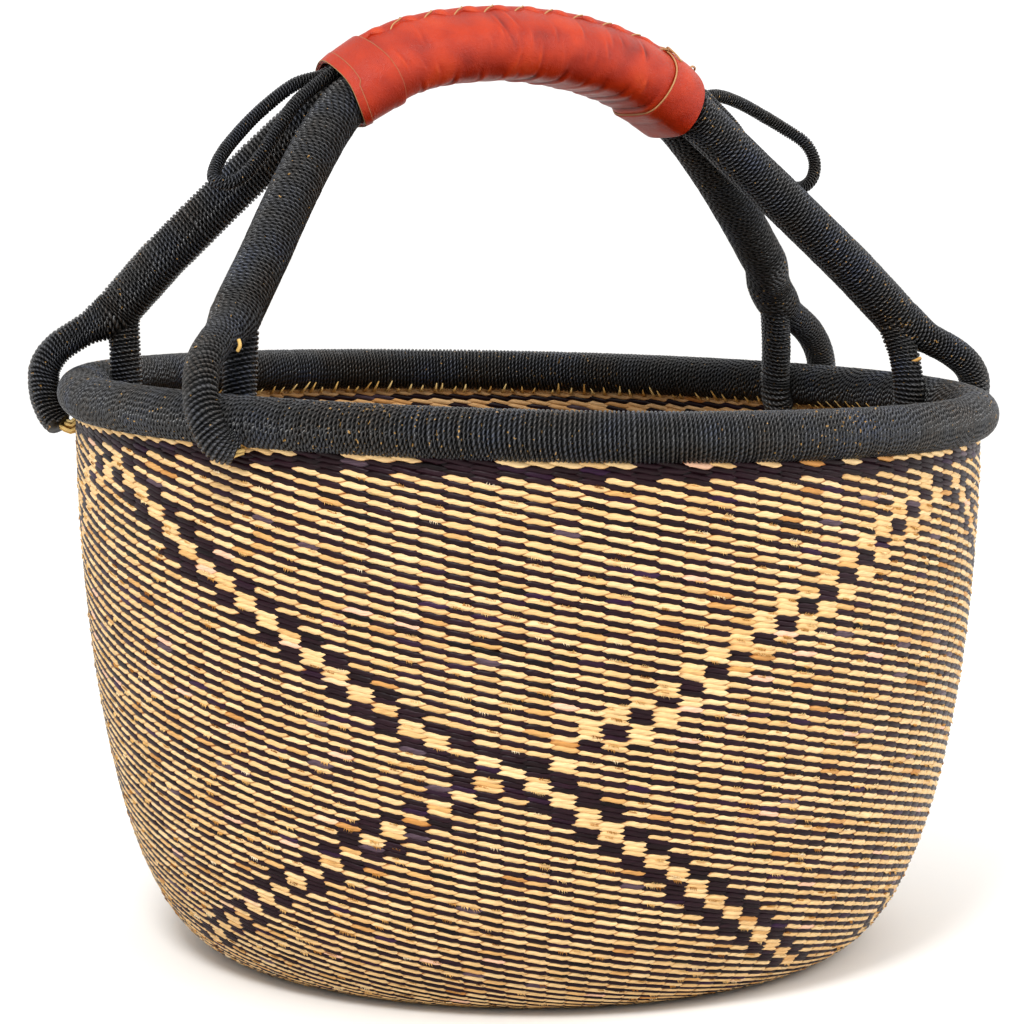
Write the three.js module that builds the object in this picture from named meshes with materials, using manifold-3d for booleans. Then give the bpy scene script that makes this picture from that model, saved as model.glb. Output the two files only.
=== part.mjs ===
// Market basket of twined grass with a wound rim, a pair of forked arches and a leather grip.
// Millimetres, +Z up. The origin is the middle of the base, where it stands on the ground.
// +X runs along the handle towards its right end, and -Y is the front.

import * as THREE from 'three';
import { mergeVertices } from 'three/addons/utils/BufferGeometryUtils.js';
import Module from 'manifold-3d';

const wasm = await Module();
wasm.setup();

// Clearances
const touchGap = 0.3; // between pieces that touch
const windingGap = 0.5; // between a grass bundle and the cord wound round it
const coverGap = 0.8; // between the arches and what is wound round the pair
const layerGap = 0.3; // between the layers of the grip covering

// Woven body
const rimDiameter = 406; // outside, over the winding
const rimThickness = 20;
const rimHeight = 235; // middle of the rim above the ground
const weaveThickness = 5;
const baseFlatDiameter = 256; // the part of the base that lies on the ground
const baseDiscDiameter = 240; // the started disc that the wall carries on from
const wallFullness = 0.84; // below 1 the wall is fuller near the base
const wallPoints = 7;
const rimCordThickness = 2;

// Arches: two grass bundles, each wound with cord, forked at both ends
const archThickness = 20.4; // over the winding
const archCordThickness = 2;
const archSpacing = 21; // middle of the front arch to middle of the back arch, in the grip
const gripTopHeight = 383.5; // middle of the arches at the top of the grip
const gripLeftEnd = { along: -86, height: 364, slope: 27, legSlope: 25, legStart: 21 };
const gripRightEnd = { along: 77, height: 358, slope: 32, legSlope: 40, legStart: 36 };

// Feet: where each leg is tied to the rim, in degrees round the basket from +X
const feet = { // twist: how many degrees the outer branch stands on round the rim, and the inner one back
  front_left: { angle: 204.8, twist: 2.3, arch: 'front', end: 'left' },
  front_right: { angle: -10.8, twist: 0, arch: 'front', end: 'right' },
  back_left: { angle: 151.9, twist: 0, arch: 'back', end: 'left' },
  back_right: { angle: 20.2, twist: 0, arch: 'back', end: 'right' },
};
const forkInset = 11; // how far inside the rim's middle the leg forks
const forkRise = 30; // height of the fork above the rim's middle
const legSweep = 9; // sideways lead of the leg into its fork
const legDrop = 5; // downward lead of the leg into its fork
const branchThickness = 14; // over the winding
const branchCordThickness = 2.5;
const branchClearance = 0.8; // between a branch and the rim that it goes round
const hookEndDrop = 3; // how far below the rim the winding of a branch ends

// Loop cord: lies on the arches in the grip and comes out as a finger loop at each end
const loopCordThickness = 6.5;
const loopCordSpacing = 7; // between its two strands
const loopRootLength = 4.5; // from the leather's mouth to where the loop bends

// Grip covering
const bindingThickness = 1;
const bindingInset = 10; // how far inside the leather's mouths the binding stops
const leatherThickness = 1.2;
const seamHeight = 2; // stitched lip along the top of the sleeve
const seamThickness = 3;
const cuffThickness = 1.2;
const leftCuffWidth = 21;
const rightCuffWidth = 24;
const cuffOverhang = 1; // the cuff's edge past the sleeve's end
const laceThickness = 1.2;
const laceSlack = 0.7; // how loosely the lace lies round the lip
const stitchSpacing = 13;
const stitchSlant = 3.5;

// Fineness of the round shapes
const ringSteps = 48;
const archSides = 10;
const archBoreSides = 8;
const archSteps = 24;
const ballRings = 6;
const branchSides = 8;
const branchBoreSides = 6;
const branchSteps = 12;
const cordSides = 8;
const strandSides = 6;
const strandSteps = 12;
const loopSteps = 24;
const coverSides = 18;
const coverSteps = 14;
const cuffSteps = 2;
const laceSides = 4;
const laceStepsPerStitch = 6;

// Shape helpers
const degrees = Math.PI / 180;

function pointAt(radius, angle, height) {
  return new THREE.Vector3(radius * Math.cos(angle * degrees), radius * Math.sin(angle * degrees), height);
}

function roundSection(radius, sides) {
  const points = [];
  for (let side = 0; side < sides; side += 1) {
    const turn = (2 * Math.PI * side) / sides;
    points.push(new THREE.Vector2(radius * Math.cos(turn), radius * Math.sin(turn)));
  }
  return new THREE.Shape(points);
}

function sweep(section, path, steps) {
  return new THREE.ExtrudeGeometry(section, { steps, bevelEnabled: false, extrudePath: path });
}

function tube(path, radius, steps, sides) {
  return sweep(roundSection(radius, sides), path, steps);
}

// A closed profile of [radius, height] pairs, turned about the basket's upright axis
function turned(profile) {
  const points = profile.map(([radius, height]) => new THREE.Vector2(radius, height));
  points.push(points[0].clone());
  return new THREE.LatheGeometry(points, ringSteps).rotateX(Math.PI / 2);
}

function solidOf(geometry) {
  const bare = geometry.clone();
  bare.deleteAttribute('normal');
  bare.deleteAttribute('uv');
  const merged = mergeVertices(bare, 1e-4);
  const mesh = new wasm.Mesh({
    numProp: 3,
    vertProperties: new Float32Array(merged.attributes.position.array),
    triVerts: new Uint32Array(merged.index.array),
  });
  return new wasm.Manifold(mesh);
}

function geometryOf(solid) {
  const mesh = solid.getMesh();
  const geometry = new THREE.BufferGeometry();
  geometry.setAttribute('position', new THREE.BufferAttribute(new Float32Array(mesh.vertProperties), 3));
  geometry.setIndex(new THREE.BufferAttribute(new Uint32Array(mesh.triVerts), 1));
  geometry.computeVertexNormals();
  return geometry;
}

// Materials
const straw = new THREE.MeshStandardMaterial({ color: 0xcfa968, roughness: 0.75, metalness: 0 });
const grassCore = new THREE.MeshStandardMaterial({ color: 0xd9bd84, roughness: 0.85, metalness: 0 });
const darkCord = new THREE.MeshStandardMaterial({ color: 0x24242b, roughness: 0.8, metalness: 0 });
const redLeather = new THREE.MeshStandardMaterial({ color: 0xb5421f, roughness: 0.45, metalness: 0 });
const cuffLeather = new THREE.MeshStandardMaterial({ color: 0xb83d20, roughness: 0.4, metalness: 0 });
const laceThread = new THREE.MeshStandardMaterial({ color: 0xb89a6c, roughness: 0.8, metalness: 0 });

const basket = new THREE.Group();

function addPart(parent, name, geometry, material) {
  const mesh = new THREE.Mesh(geometry, material.clone());
  mesh.name = name;
  parent.add(mesh);
  return mesh;
}

// Sizes that follow from the driving dimensions
const rimRadius = rimThickness / 2;
const rimMiddleRadius = rimDiameter / 2 - rimRadius;
const rimCoreRadius = rimRadius - rimCordThickness - windingGap;
const wallTopHeight = rimHeight - rimCoreRadius - touchGap;
const wallTopRadius = rimMiddleRadius + weaveThickness / 2;
const archRadius = archThickness / 2;
const archBoreRadius = archRadius - archCordThickness;
const archCoreRadius = archBoreRadius - windingGap;
const branchRadius = branchThickness / 2;
const branchBoreRadius = branchRadius - branchCordThickness;
const branchCoreRadius = branchBoreRadius - windingGap;
const loopCordRadius = loopCordThickness / 2;

// Outer face of the wall as it rises from the flat of the base, offset outwards by clear
function wallFace(clear) {
  const points = [];
  const flatRadius = baseFlatDiameter / 2;
  for (let step = 0; step <= wallPoints; step += 1) {
    const turn = (Math.PI / 2) * (step / wallPoints);
    const ahead = Math.min(turn + 0.01, Math.PI / 2);
    const behind = Math.max(turn - 0.01, 0);
    const at = (angle) => [
      flatRadius + (wallTopRadius - flatRadius) * Math.sin(angle) ** wallFullness,
      wallTopHeight * (1 - Math.cos(angle)),
    ];
    const run = at(ahead)[0] - at(behind)[0];
    const rise = at(ahead)[1] - at(behind)[1];
    const length = Math.hypot(run, rise);
    const [radius, height] = at(turn);
    points.push([radius + (clear * rise) / length, Math.max(height - (clear * run) / length, 0)]);
  }
  return points;
}

// Wall and base
function wallSolid(clear) {
  const innerRadius = baseDiscDiameter / 2;
  const outer = wallFace(clear);
  const inner = wallFace(-weaveThickness - clear).reverse();
  const top = wallTopHeight + clear;
  outer[outer.length - 1][1] = top;
  inner[0][1] = top;
  return solidOf(turned([[innerRadius, 0], ...outer, ...inner, [innerRadius, weaveThickness]]));
}

function wovenBase() {
  const radius = baseDiscDiameter / 2 - touchGap;
  const points = [[0, 0], [radius, 0], [radius, weaveThickness], [0, weaveThickness]];
  const profile = points.map(([across, height]) => new THREE.Vector2(across, height));
  return new THREE.LatheGeometry(profile, ringSteps).rotateX(Math.PI / 2);
}

// Arc of [radius, height] points round the rim's middle line, in degrees
function rimArc(radius, from, to, count) {
  const points = [];
  for (let step = 0; step <= count; step += 1) {
    const angle = (from + ((to - from) * step) / count) * degrees;
    points.push([rimMiddleRadius + radius * Math.cos(angle), rimHeight + radius * Math.sin(angle)]);
  }
  return points;
}

function rimCore() {
  return turned(rimArc(rimCoreRadius, 0, 315, 7));
}

// The winding leaves a slot underneath, where the wall's stakes go up into the hoop
function rimWinding() {
  const boreRadius = rimCoreRadius + windingGap;
  const slot = Math.asin((weaveThickness / 2 + touchGap) / boreRadius) / degrees;
  const outside = rimArc(rimRadius, -90 + slot, 270 - slot, 10);
  const inside = rimArc(boreRadius, 270 - slot, -90 + slot, 9);
  return turned([...outside, ...inside]);
}

// Arch paths
function archSide(arch) {
  return arch === 'front' ? -1 : 1;
}

const gripEnds = { left: gripLeftEnd, right: gripRightEnd };

function gripEndPoint(end, side) {
  const grip = gripEnds[end];
  return new THREE.Vector3(grip.along, (side * archSpacing) / 2, grip.height);
}

// Direction away from the grip's middle at one end, down at a slope in degrees
function slopeDirection(end, slope) {
  const outward = end === 'left' ? -1 : 1;
  return new THREE.Vector3(outward * Math.cos(slope * degrees), 0, -Math.sin(slope * degrees));
}

function gripEndDirection(end) {
  return slopeDirection(end, gripEnds[end].slope);
}

function gripCurve(side) {
  const left = gripEndPoint('left', side);
  const right = gripEndPoint('right', side);
  const leftPull = gripEndDirection('left').negate();
  const rightPull = gripEndDirection('right').negate();
  const pull = (8 * gripTopHeight - 4 * (left.z + right.z)) / (3 * (leftPull.z + rightPull.z));
  return new THREE.CubicBezierCurve3(
    left,
    left.clone().addScaledVector(leftPull, pull),
    right.clone().addScaledVector(rightPull, pull),
    right,
  );
}

function forkPoint(foot) {
  return pointAt(rimMiddleRadius - forkInset, foot.angle, rimHeight + forkRise);
}

function legCurve(foot) {
  const side = archSide(foot.arch);
  const start = gripEndPoint(foot.end, side);
  const fork = forkPoint(foot);
  const turnSide = foot.end === 'left' ? side : -side;
  const sideways = pointAt(1, foot.angle + 90 * turnSide, 0);
  const lead = fork.clone().addScaledVector(sideways, legSweep);
  lead.z += legDrop;
  const grip = gripEnds[foot.end];
  const leave = start.clone().addScaledVector(slopeDirection(foot.end, grip.legSlope), grip.legStart);
  return new THREE.CubicBezierCurve3(start, leave, lead, fork);
}

// The whole arch from its left fork to its right fork
function archCurve(arch) {
  const own = Object.values(feet).filter((foot) => foot.arch === arch);
  const left = legCurve(own.find((foot) => foot.end === 'left'));
  const path = new THREE.CurvePath();
  path.add(new THREE.CubicBezierCurve3(left.v3, left.v2, left.v1, left.v0));
  path.add(gripCurve(archSide(arch)));
  path.add(legCurve(own.find((foot) => foot.end === 'right')));
  return path;
}

// The two branches of a fork as one path: over the rim outside, under it through the wall and up inside.
// They keep the winding clear of the rim at its sides, and the bare core close below it.
function branchCurve(foot) {
  const reach = rimRadius + branchRadius + branchClearance;
  const depth = rimRadius + branchCoreRadius + branchClearance;
  const route = [[2, 25.5], [0.74 * reach, 0.8 * reach]];
  for (let angle = 15; angle >= -195; angle -= 30) {
    route.push([reach * Math.cos(angle * degrees), depth * Math.sin(angle * degrees)]);
  }
  route.push([-0.93 * reach, 0.95 * reach]);
  const points = route.map(([out, up]) => {
    const angle = foot.angle + (foot.twist * out) / reach;
    return pointAt(rimMiddleRadius + out, angle, rimHeight + up);
  });
  return new THREE.CatmullRomCurve3([forkPoint(foot), ...points, forkPoint(foot)]);
}

function forkBall(foot, radius, sides) {
  const ball = new THREE.SphereGeometry(radius, sides, ballRings).rotateX(Math.PI / 2);
  const centre = forkPoint(foot);
  return ball.translate(centre.x, centre.y, centre.z);
}

// An arch with both its forks as one solid, from its trunk's and its branches' radius and number of sides
function forkedArch(arch, trunk, limb) {
  let solid = solidOf(tube(archCurve(arch), trunk.radius, archSteps, trunk.sides));
  for (const foot of Object.values(feet)) {
    if (foot.arch === arch) {
      solid = solid.add(solidOf(forkBall(foot, trunk.radius, trunk.sides)));
      solid = solid.add(solidOf(tube(branchCurve(foot), limb.radius, branchSteps, limb.sides)));
    }
  }
  return solid;
}

const trunkOutside = { radius: archRadius, sides: archSides };
const trunkBore = { radius: archBoreRadius, sides: archBoreSides };
const trunkCore = { radius: archCoreRadius, sides: archBoreSides };
const branchOutside = { radius: branchRadius, sides: branchSides };
const branchBore = { radius: branchBoreRadius, sides: branchBoreSides };
const branchCore = { radius: branchCoreRadius, sides: branchBoreSides };

// Woven body and rim
const body = new THREE.Group();
basket.add(body);

let wall = wallSolid(0);
for (const foot of Object.values(feet)) {
  wall = wall.subtract(solidOf(tube(branchCurve(foot), branchBore.radius, branchSteps, branchBore.sides)));
}
addPart(body, 'woven_wall', geometryOf(wall), straw);
addPart(body, 'woven_base', wovenBase(), straw);
addPart(body, 'rim_hoop', rimCore(), grassCore);
addPart(body, 'rim_winding', rimWinding(), darkCord);

// Arches and the windings over their legs, which meet at the middle of the grip
const handle = new THREE.Group();
basket.add(handle);

const gripMiddle = gripCurve(0).getPoint(0.5);

// The windings stay clear of the wall and the rim, and end where their branches turn in below it
const wallZone = wallSolid(touchGap);
const rimZone = solidOf(turned(rimArc(rimRadius + touchGap, 0, 330, 11)));
const hookEndHeight = rimHeight - rimRadius - hookEndDrop;
const underRimZone = solidOf(turned([
  [rimMiddleRadius - rimThickness * 2, hookEndHeight - rimThickness * 2],
  [rimMiddleRadius + rimThickness * 2, hookEndHeight - rimThickness * 2],
  [rimMiddleRadius + rimThickness * 2, hookEndHeight],
  [rimMiddleRadius - rimThickness * 2, hookEndHeight],
]));

function halfSpace(end) {
  const width = rimDiameter;
  const shift = end === 'left' ? width / 2 - touchGap / 2 : -width / 2 + touchGap / 2;
  const block = new THREE.BoxGeometry(width, width * 1.5, width * 1.5);
  return solidOf(block.translate(gripMiddle.x + shift, 0, rimHeight));
}

for (const arch of ['front', 'back']) {
  addPart(handle, `${arch}_arch_bundle`, geometryOf(forkedArch(arch, trunkCore, branchCore)), grassCore);
  const bore = forkedArch(arch, trunkBore, branchBore);
  const whole = forkedArch(arch, trunkOutside, branchOutside).subtract(bore);
  const winding = whole.subtract(wallZone).subtract(rimZone).subtract(underRimZone);
  for (const [name, foot] of Object.entries(feet)) {
    if (foot.arch === arch) {
      addPart(handle, `${name}_leg_winding`, geometryOf(winding.subtract(halfSpace(foot.end))), darkCord);
    }
  }
}

// Grip covering: sections square to the grip, with the arches and the cord's strands inside
const strandRise = Math.sqrt(
  (archRadius + loopCordRadius + touchGap) ** 2 - (archSpacing / 2 - loopCordSpacing / 2) ** 2,
);
const bundleCircles = [
  { across: -archSpacing / 2, up: 0, radius: archRadius },
  { across: archSpacing / 2, up: 0, radius: archRadius },
  { across: -loopCordSpacing / 2, up: strandRise, radius: loopCordRadius },
  { across: loopCordSpacing / 2, up: strandRise, radius: loopCordRadius },
];

// Taut outline round the bundle, offset outwards by grow: each point is the outermost in its direction
function bundleOutline(grow, count) {
  const points = [];
  for (let step = 0; step < count; step += 1) {
    const turn = (2 * Math.PI * (step + 0.5)) / count;
    const across = Math.cos(turn);
    const up = Math.sin(turn);
    let best = null;
    let reach = -Infinity;
    for (const circle of bundleCircles) {
      const extent = circle.across * across + circle.up * up + circle.radius;
      if (extent > reach) {
        reach = extent;
        best = circle;
      }
    }
    const radius = best.radius + grow;
    points.push(new THREE.Vector2(best.across + radius * across, best.up + radius * up));
  }
  return points;
}

// Stretch of the grip's middle line between two shares of its length
function gripStretch(from, to, rise, across) {
  const grip = gripCurve(0);
  const points = [];
  const count = 12;
  for (let step = 0; step <= count; step += 1) {
    const share = from + ((to - from) * step) / count;
    const inside = Math.min(Math.max(share, 0), 1);
    const point = grip.getPointAt(inside);
    const along = grip.getTangentAt(inside);
    const up = new THREE.Vector3(-along.z, 0, along.x);
    point.addScaledVector(along, (share - inside) * grip.getLength());
    point.addScaledVector(up, rise);
    point.y += across;
    points.push(point);
  }
  return new THREE.CatmullRomCurve3(points);
}

const gripLength = gripCurve(0).getLength();
const bindingInner = coverGap;
const bindingOuter = bindingInner + bindingThickness;
const leatherInner = bindingOuter + layerGap;
const leatherOuter = leatherInner + leatherThickness;
const cuffInner = leatherOuter + layerGap;
const cuffOuter = cuffInner + cuffThickness;
const edgeShare = cuffOverhang / gripLength;

// The sweep's own frame has its second axis pointing down here, so its section is given upside down
function upsideDown(point) {
  return new THREE.Vector2(-point.x, -point.y);
}

function cover(innerOutline, outerOutline, from, to, steps) {
  const section = new THREE.Shape(outerOutline.map(upsideDown));
  section.holes.push(new THREE.Path(innerOutline.map(upsideDown).reverse()));
  return sweep(section, gripStretch(from, to, 0, 0), steps);
}

const bindingShare = bindingInset / gripLength;
const bindingLining = bundleOutline(bindingInner, coverSides);
const bindingOutline = bundleOutline(bindingOuter, coverSides);
const binding = cover(bindingLining, bindingOutline, bindingShare, 1 - bindingShare, coverSteps);
addPart(handle, 'grip_binding', binding, darkCord);

const leftCuffShare = leftCuffWidth / gripLength;
const rightCuffShare = rightCuffWidth / gripLength;

// Stitched lip that stands along the top of the sleeve between the cuffs
function seamLip() {
  const foot = strandRise + loopCordRadius + leatherInner + leatherThickness / 2;
  const top = strandRise + loopCordRadius + leatherOuter + seamHeight;
  const half = seamThickness / 2;
  const points = [[half, foot], [half * 0.8, top], [-half * 0.8, top], [-half, foot]];
  const section = new THREE.Shape(points.map(([across, up]) => new THREE.Vector2(-across, -up)));
  const ends = layerGap / gripLength;
  return sweep(section, gripStretch(leftCuffShare + ends, 1 - rightCuffShare - ends, 0, 0), coverSteps);
}

const sleeveLining = bundleOutline(leatherInner, coverSides);
const sleeveOutline = bundleOutline(leatherOuter, coverSides);
const tubeOnly = cover(sleeveLining, sleeveOutline, edgeShare, 1 - edgeShare, coverSteps);
addPart(handle, 'leather_sleeve', geometryOf(solidOf(tubeOnly).add(solidOf(seamLip()))), redLeather);

const cuffLining = bundleOutline(cuffInner, coverSides);
const cuffOutline = bundleOutline(cuffOuter, coverSides);
const leftCuff = cover(cuffLining, cuffOutline, 0, leftCuffShare, cuffSteps);
addPart(handle, 'left_leather_cuff', leftCuff, cuffLeather);
const rightCuff = cover(cuffLining, cuffOutline, 1 - rightCuffShare, 1, cuffSteps);
addPart(handle, 'right_leather_cuff', rightCuff, cuffLeather);

// Loop cord: two strands along the top of the arches, and a loop that bends at each mouth
const rootShare = (loopRootLength - loopCordRadius - touchGap) / gripLength;
for (const [name, side] of [['front', -1], ['back', 1]]) {
  const path = gripStretch(-rootShare, 1 + rootShare, strandRise, (side * loopCordSpacing) / 2);
  addPart(handle, `${name}_loop_strand`, tube(path, loopCordRadius, strandSteps, strandSides), darkCord);
}

// Where a finger loop bends: the middle between its two strands, just out of the leather
function loopHinge(end) {
  const outward = gripEndDirection(end);
  const up = new THREE.Vector3(Math.abs(outward.z) * Math.sign(outward.x), 0, Math.abs(outward.x));
  const mouth = gripEndPoint(end, 0);
  return mouth.addScaledVector(up, strandRise).addScaledVector(outward, loopRootLength);
}

// Routes of the finger loops: [along, across, up] from the hinge, from the back strand to the front one
const half = loopCordSpacing / 2;
const loopRoutes = {
  left: [
    [0, half, 0], [-11, 6, -2.5], [-23.5, 8, -11.5], [-34, 8.2, -21], [-43.5, 6, -31.5], [-49, 1, -40.5],
    [-46, -5, -44.5], [-39.5, -8.2, -41], [-32, -8.6, -32.5], [-24, -7.4, -22], [-15, -5.6, -11], [0, -half, 0],
  ],
  right: [
    [0, -half, 0], [11, -6, 0.5], [24, -8, -4.5], [37.5, -8.4, -11.5], [48.5, -7, -18], [56.5, -3.5, -24],
    [59.5, 0.5, -31], [57.5, 4.5, -36.5], [51.5, 7, -38.5], [41, 8, -33], [27, 7, -20], [14, 5.5, -9], [0, half, 0],
  ],
};

function fingerLoop(end) {
  const hinge = loopHinge(end);
  const points = loopRoutes[end].map(([along, across, up]) => new THREE.Vector3(along, across, up));
  let solid = solidOf(tube(new THREE.CatmullRomCurve3(points), loopCordRadius, loopSteps, cordSides));
  for (const side of [-1, 1]) {
    const ball = new THREE.SphereGeometry(loopCordRadius, cordSides, 4);
    solid = solid.add(solidOf(ball.translate(0, side * half, 0)));
  }
  const mesh = addPart(basket, `${end}_finger_loop`, geometryOf(solid), darkCord);
  mesh.position.copy(hinge);
}

fingerLoop('left');
fingerLoop('right');

// Lace: one thread whipped to and fro over the sleeve's lip between the cuffs
function seamLace() {
  const radius = laceThickness / 2;
  const clear = radius + laceSlack;
  const base = strandRise + loopCordRadius + leatherOuter + clear;
  const crossing = [
    [0, 1, 0],
    [0.3, 0.7, seamHeight],
    [0.7, -0.7, seamHeight],
    [1, -1, 0],
  ];
  const from = leftCuffShare + stitchSpacing / 2 / gripLength;
  const to = 1 - rightCuffShare - stitchSpacing / 2 / gripLength;
  const count = Math.floor(((to - from) * gripLength) / stitchSpacing);
  const grip = gripCurve(0);
  const points = [];
  for (let stitch = 0; stitch <= count; stitch += 1) {
    const facing = stitch % 2 === 0 ? 1 : -1;
    for (const [share, across, up] of crossing) {
      const at = from + (stitch * stitchSpacing + stitchSlant * share) / gripLength;
      const point = grip.getPointAt(at);
      const along = grip.getTangentAt(at);
      point.addScaledVector(new THREE.Vector3(-along.z, 0, along.x), base + up);
      point.y += facing * across * (seamThickness / 2 + clear);
      points.push(point);
    }
  }
  const path = new THREE.CatmullRomCurve3(points);
  return tube(path, radius, (count + 1) * laceStepsPerStitch, laceSides);
}
addPart(handle, 'seam_lace', seamLace(), laceThread);

export default basket;
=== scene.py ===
import math

import bpy
import numpy as np
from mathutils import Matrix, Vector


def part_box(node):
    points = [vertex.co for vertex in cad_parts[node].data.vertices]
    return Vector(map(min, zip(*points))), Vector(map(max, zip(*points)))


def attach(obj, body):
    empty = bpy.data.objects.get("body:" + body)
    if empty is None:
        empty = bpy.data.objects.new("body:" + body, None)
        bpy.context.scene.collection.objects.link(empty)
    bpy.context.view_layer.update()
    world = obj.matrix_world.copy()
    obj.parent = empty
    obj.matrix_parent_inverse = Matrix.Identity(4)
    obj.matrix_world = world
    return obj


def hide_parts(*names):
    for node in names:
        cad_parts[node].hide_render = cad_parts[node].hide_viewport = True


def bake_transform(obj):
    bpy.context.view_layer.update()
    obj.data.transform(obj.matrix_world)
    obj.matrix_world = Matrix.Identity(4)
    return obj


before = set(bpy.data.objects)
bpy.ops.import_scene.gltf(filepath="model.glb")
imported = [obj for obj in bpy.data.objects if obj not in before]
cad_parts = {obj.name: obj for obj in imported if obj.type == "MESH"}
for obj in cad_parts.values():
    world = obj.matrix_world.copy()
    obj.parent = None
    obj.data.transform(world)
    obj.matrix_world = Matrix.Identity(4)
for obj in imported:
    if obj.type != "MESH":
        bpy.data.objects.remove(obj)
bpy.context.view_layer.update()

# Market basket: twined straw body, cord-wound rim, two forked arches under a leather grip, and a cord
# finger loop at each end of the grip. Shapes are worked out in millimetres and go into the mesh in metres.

mm = 0.001
chance = np.random.default_rng(11)
print("frame loaded")


# Camera, floor and light

cameraView = {"place": (-0.5966, -1.1556, 0.3287), "turnDeg": 27.0, "dropDeg": 6.3, "lensMm": 105.07}

studio = {
    "floorSize": 30.0,
    "floorHex": "F4F3F1",
    "skyHex": "FFFFFF",
    "sky": 0.95,
    "lamps": [            # place, size in metres, watts
        ((-1.2, -1.3, 2.1), 0.7, 38.0),
        ((1.4, -1.1, 1.3), 1.0, 12.0),
    ],
    "aim": (0.0, 0.0, 0.2),
    "contrast": "Medium High Contrast",
}


def toLinear(hexText):
    # sRGB hex to linear light: below 0.04045 divide by 12.92, above raise (v + 0.055) / 1.055 to 2.4
    values = [int(hexText[i:i + 2], 16) / 255 for i in (0, 2, 4)]
    return tuple(v / 12.92 if v <= 0.04045 else ((v + 0.055) / 1.055) ** 2.4 for v in values) + (1.0,)


def addNode(tree, kind, settings=None, links=None, stops=None):
    # a node with its settings; links gives each input a value or another node's output
    node = tree.nodes.new(kind)
    for name, value in (settings or {}).items():
        setattr(node, name, value)
    for name, value in (links or {}).items():
        if isinstance(value, bpy.types.NodeSocket):
            tree.links.new(value, node.inputs[name])
        else:
            node.inputs[name].default_value = value
    if stops:
        ramp = node.color_ramp
        while len(ramp.elements) < len(stops):
            ramp.elements.new(0.5)
        for element, (place, hexText) in zip(ramp.elements, stops):
            element.position = place
            element.color = toLinear(hexText)
    return node


def newMaterial(name):
    material = bpy.data.materials.new(name)
    material.use_nodes = True
    material.node_tree.nodes.clear()
    return material, material.node_tree


def finishMaterial(material, shader):
    addNode(material.node_tree, "ShaderNodeOutputMaterial", links={"Surface": shader.outputs[0]})
    return material


def calculate(tree, operation, *values):
    # one step of arithmetic on numbers or other nodes' outputs
    return addNode(tree, "ShaderNodeMath", {"operation": operation}, dict(enumerate(values))).outputs[0]


def remap(tree, value, start, end, first, last):
    # start to end becomes first to last, and stays there beyond it
    return addNode(tree, "ShaderNodeMapRange", links={"Value": value, "From Min": start, "From Max": end,
                                                      "To Min": first, "To Max": last}).outputs[0]


def noise(tree, vector, scale, detail, **more):
    return addNode(tree, "ShaderNodeTexNoise",
                   links={"Vector": vector, "Scale": scale, "Detail": detail, **more}).outputs["Fac"]


def fibreNoise(tree, scale, detail, **more):
    # noise on the piece's own unwrapping, which is in millimetres: scale is per millimetre along and across
    uv = addNode(tree, "ShaderNodeUVMap", {"uv_map": "fibre"}).outputs[0]
    stretched = addNode(tree, "ShaderNodeMapping", links={"Vector": uv, "Scale": (*scale, 1.0)}).outputs[0]
    return noise(tree, stretched, 1.0, detail, **more)


def cloudNoise(tree, sizeMm, detail, **more):
    # noise in the room of the object, with lumps of that many millimetres
    place = addNode(tree, "ShaderNodeTexCoord").outputs["Object"]
    return noise(tree, place, 1 / (sizeMm * mm), detail, **more)


def readValue(tree, name):
    return addNode(tree, "ShaderNodeAttribute", {"attribute_name": name}).outputs["Fac"]


def pickColour(tree, share, stops):
    return addNode(tree, "ShaderNodeValToRGB", links={"Fac": share}, stops=stops).outputs["Color"]


def shadeColour(tree, colour, share):
    settings = {"operation": "SCALE"}
    return addNode(tree, "ShaderNodeVectorMath", settings, {0: colour, "Scale": share}).outputs[0]


def mixColour(tree, share, colour, hexText):
    return addNode(tree, "ShaderNodeMix", {"data_type": "RGBA"},
                   {0: share, 6: colour, 7: toLinear(hexText)}).outputs[2]


def reliefShader(tree, colour, roughness, shine, height, strength, deepMm):
    # one shader, with a relief from height that is so many millimetres deep
    bump = addNode(tree, "ShaderNodeBump", links={"Height": height, "Strength": strength,
                                                  "Distance": deepMm * mm}).outputs[0]
    return addNode(tree, "ShaderNodeBsdfPrincipled", links={"Base Color": colour, "Roughness": roughness,
                                                            "Normal": bump, "Specular IOR Level": shine})


def makeCamera(view):
    lens = bpy.data.cameras.new("camera")
    lens.lens = view["lensMm"]
    lens.sensor_width = 36.0
    lens.clip_start = 0.05
    camera = bpy.data.objects.new("camera", lens)
    camera.location = view["place"]
    camera.rotation_euler = (math.radians(90 - view["dropDeg"]), 0, math.radians(-view["turnDeg"]))
    bpy.context.scene.collection.objects.link(camera)
    bpy.context.scene.camera = camera


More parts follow.
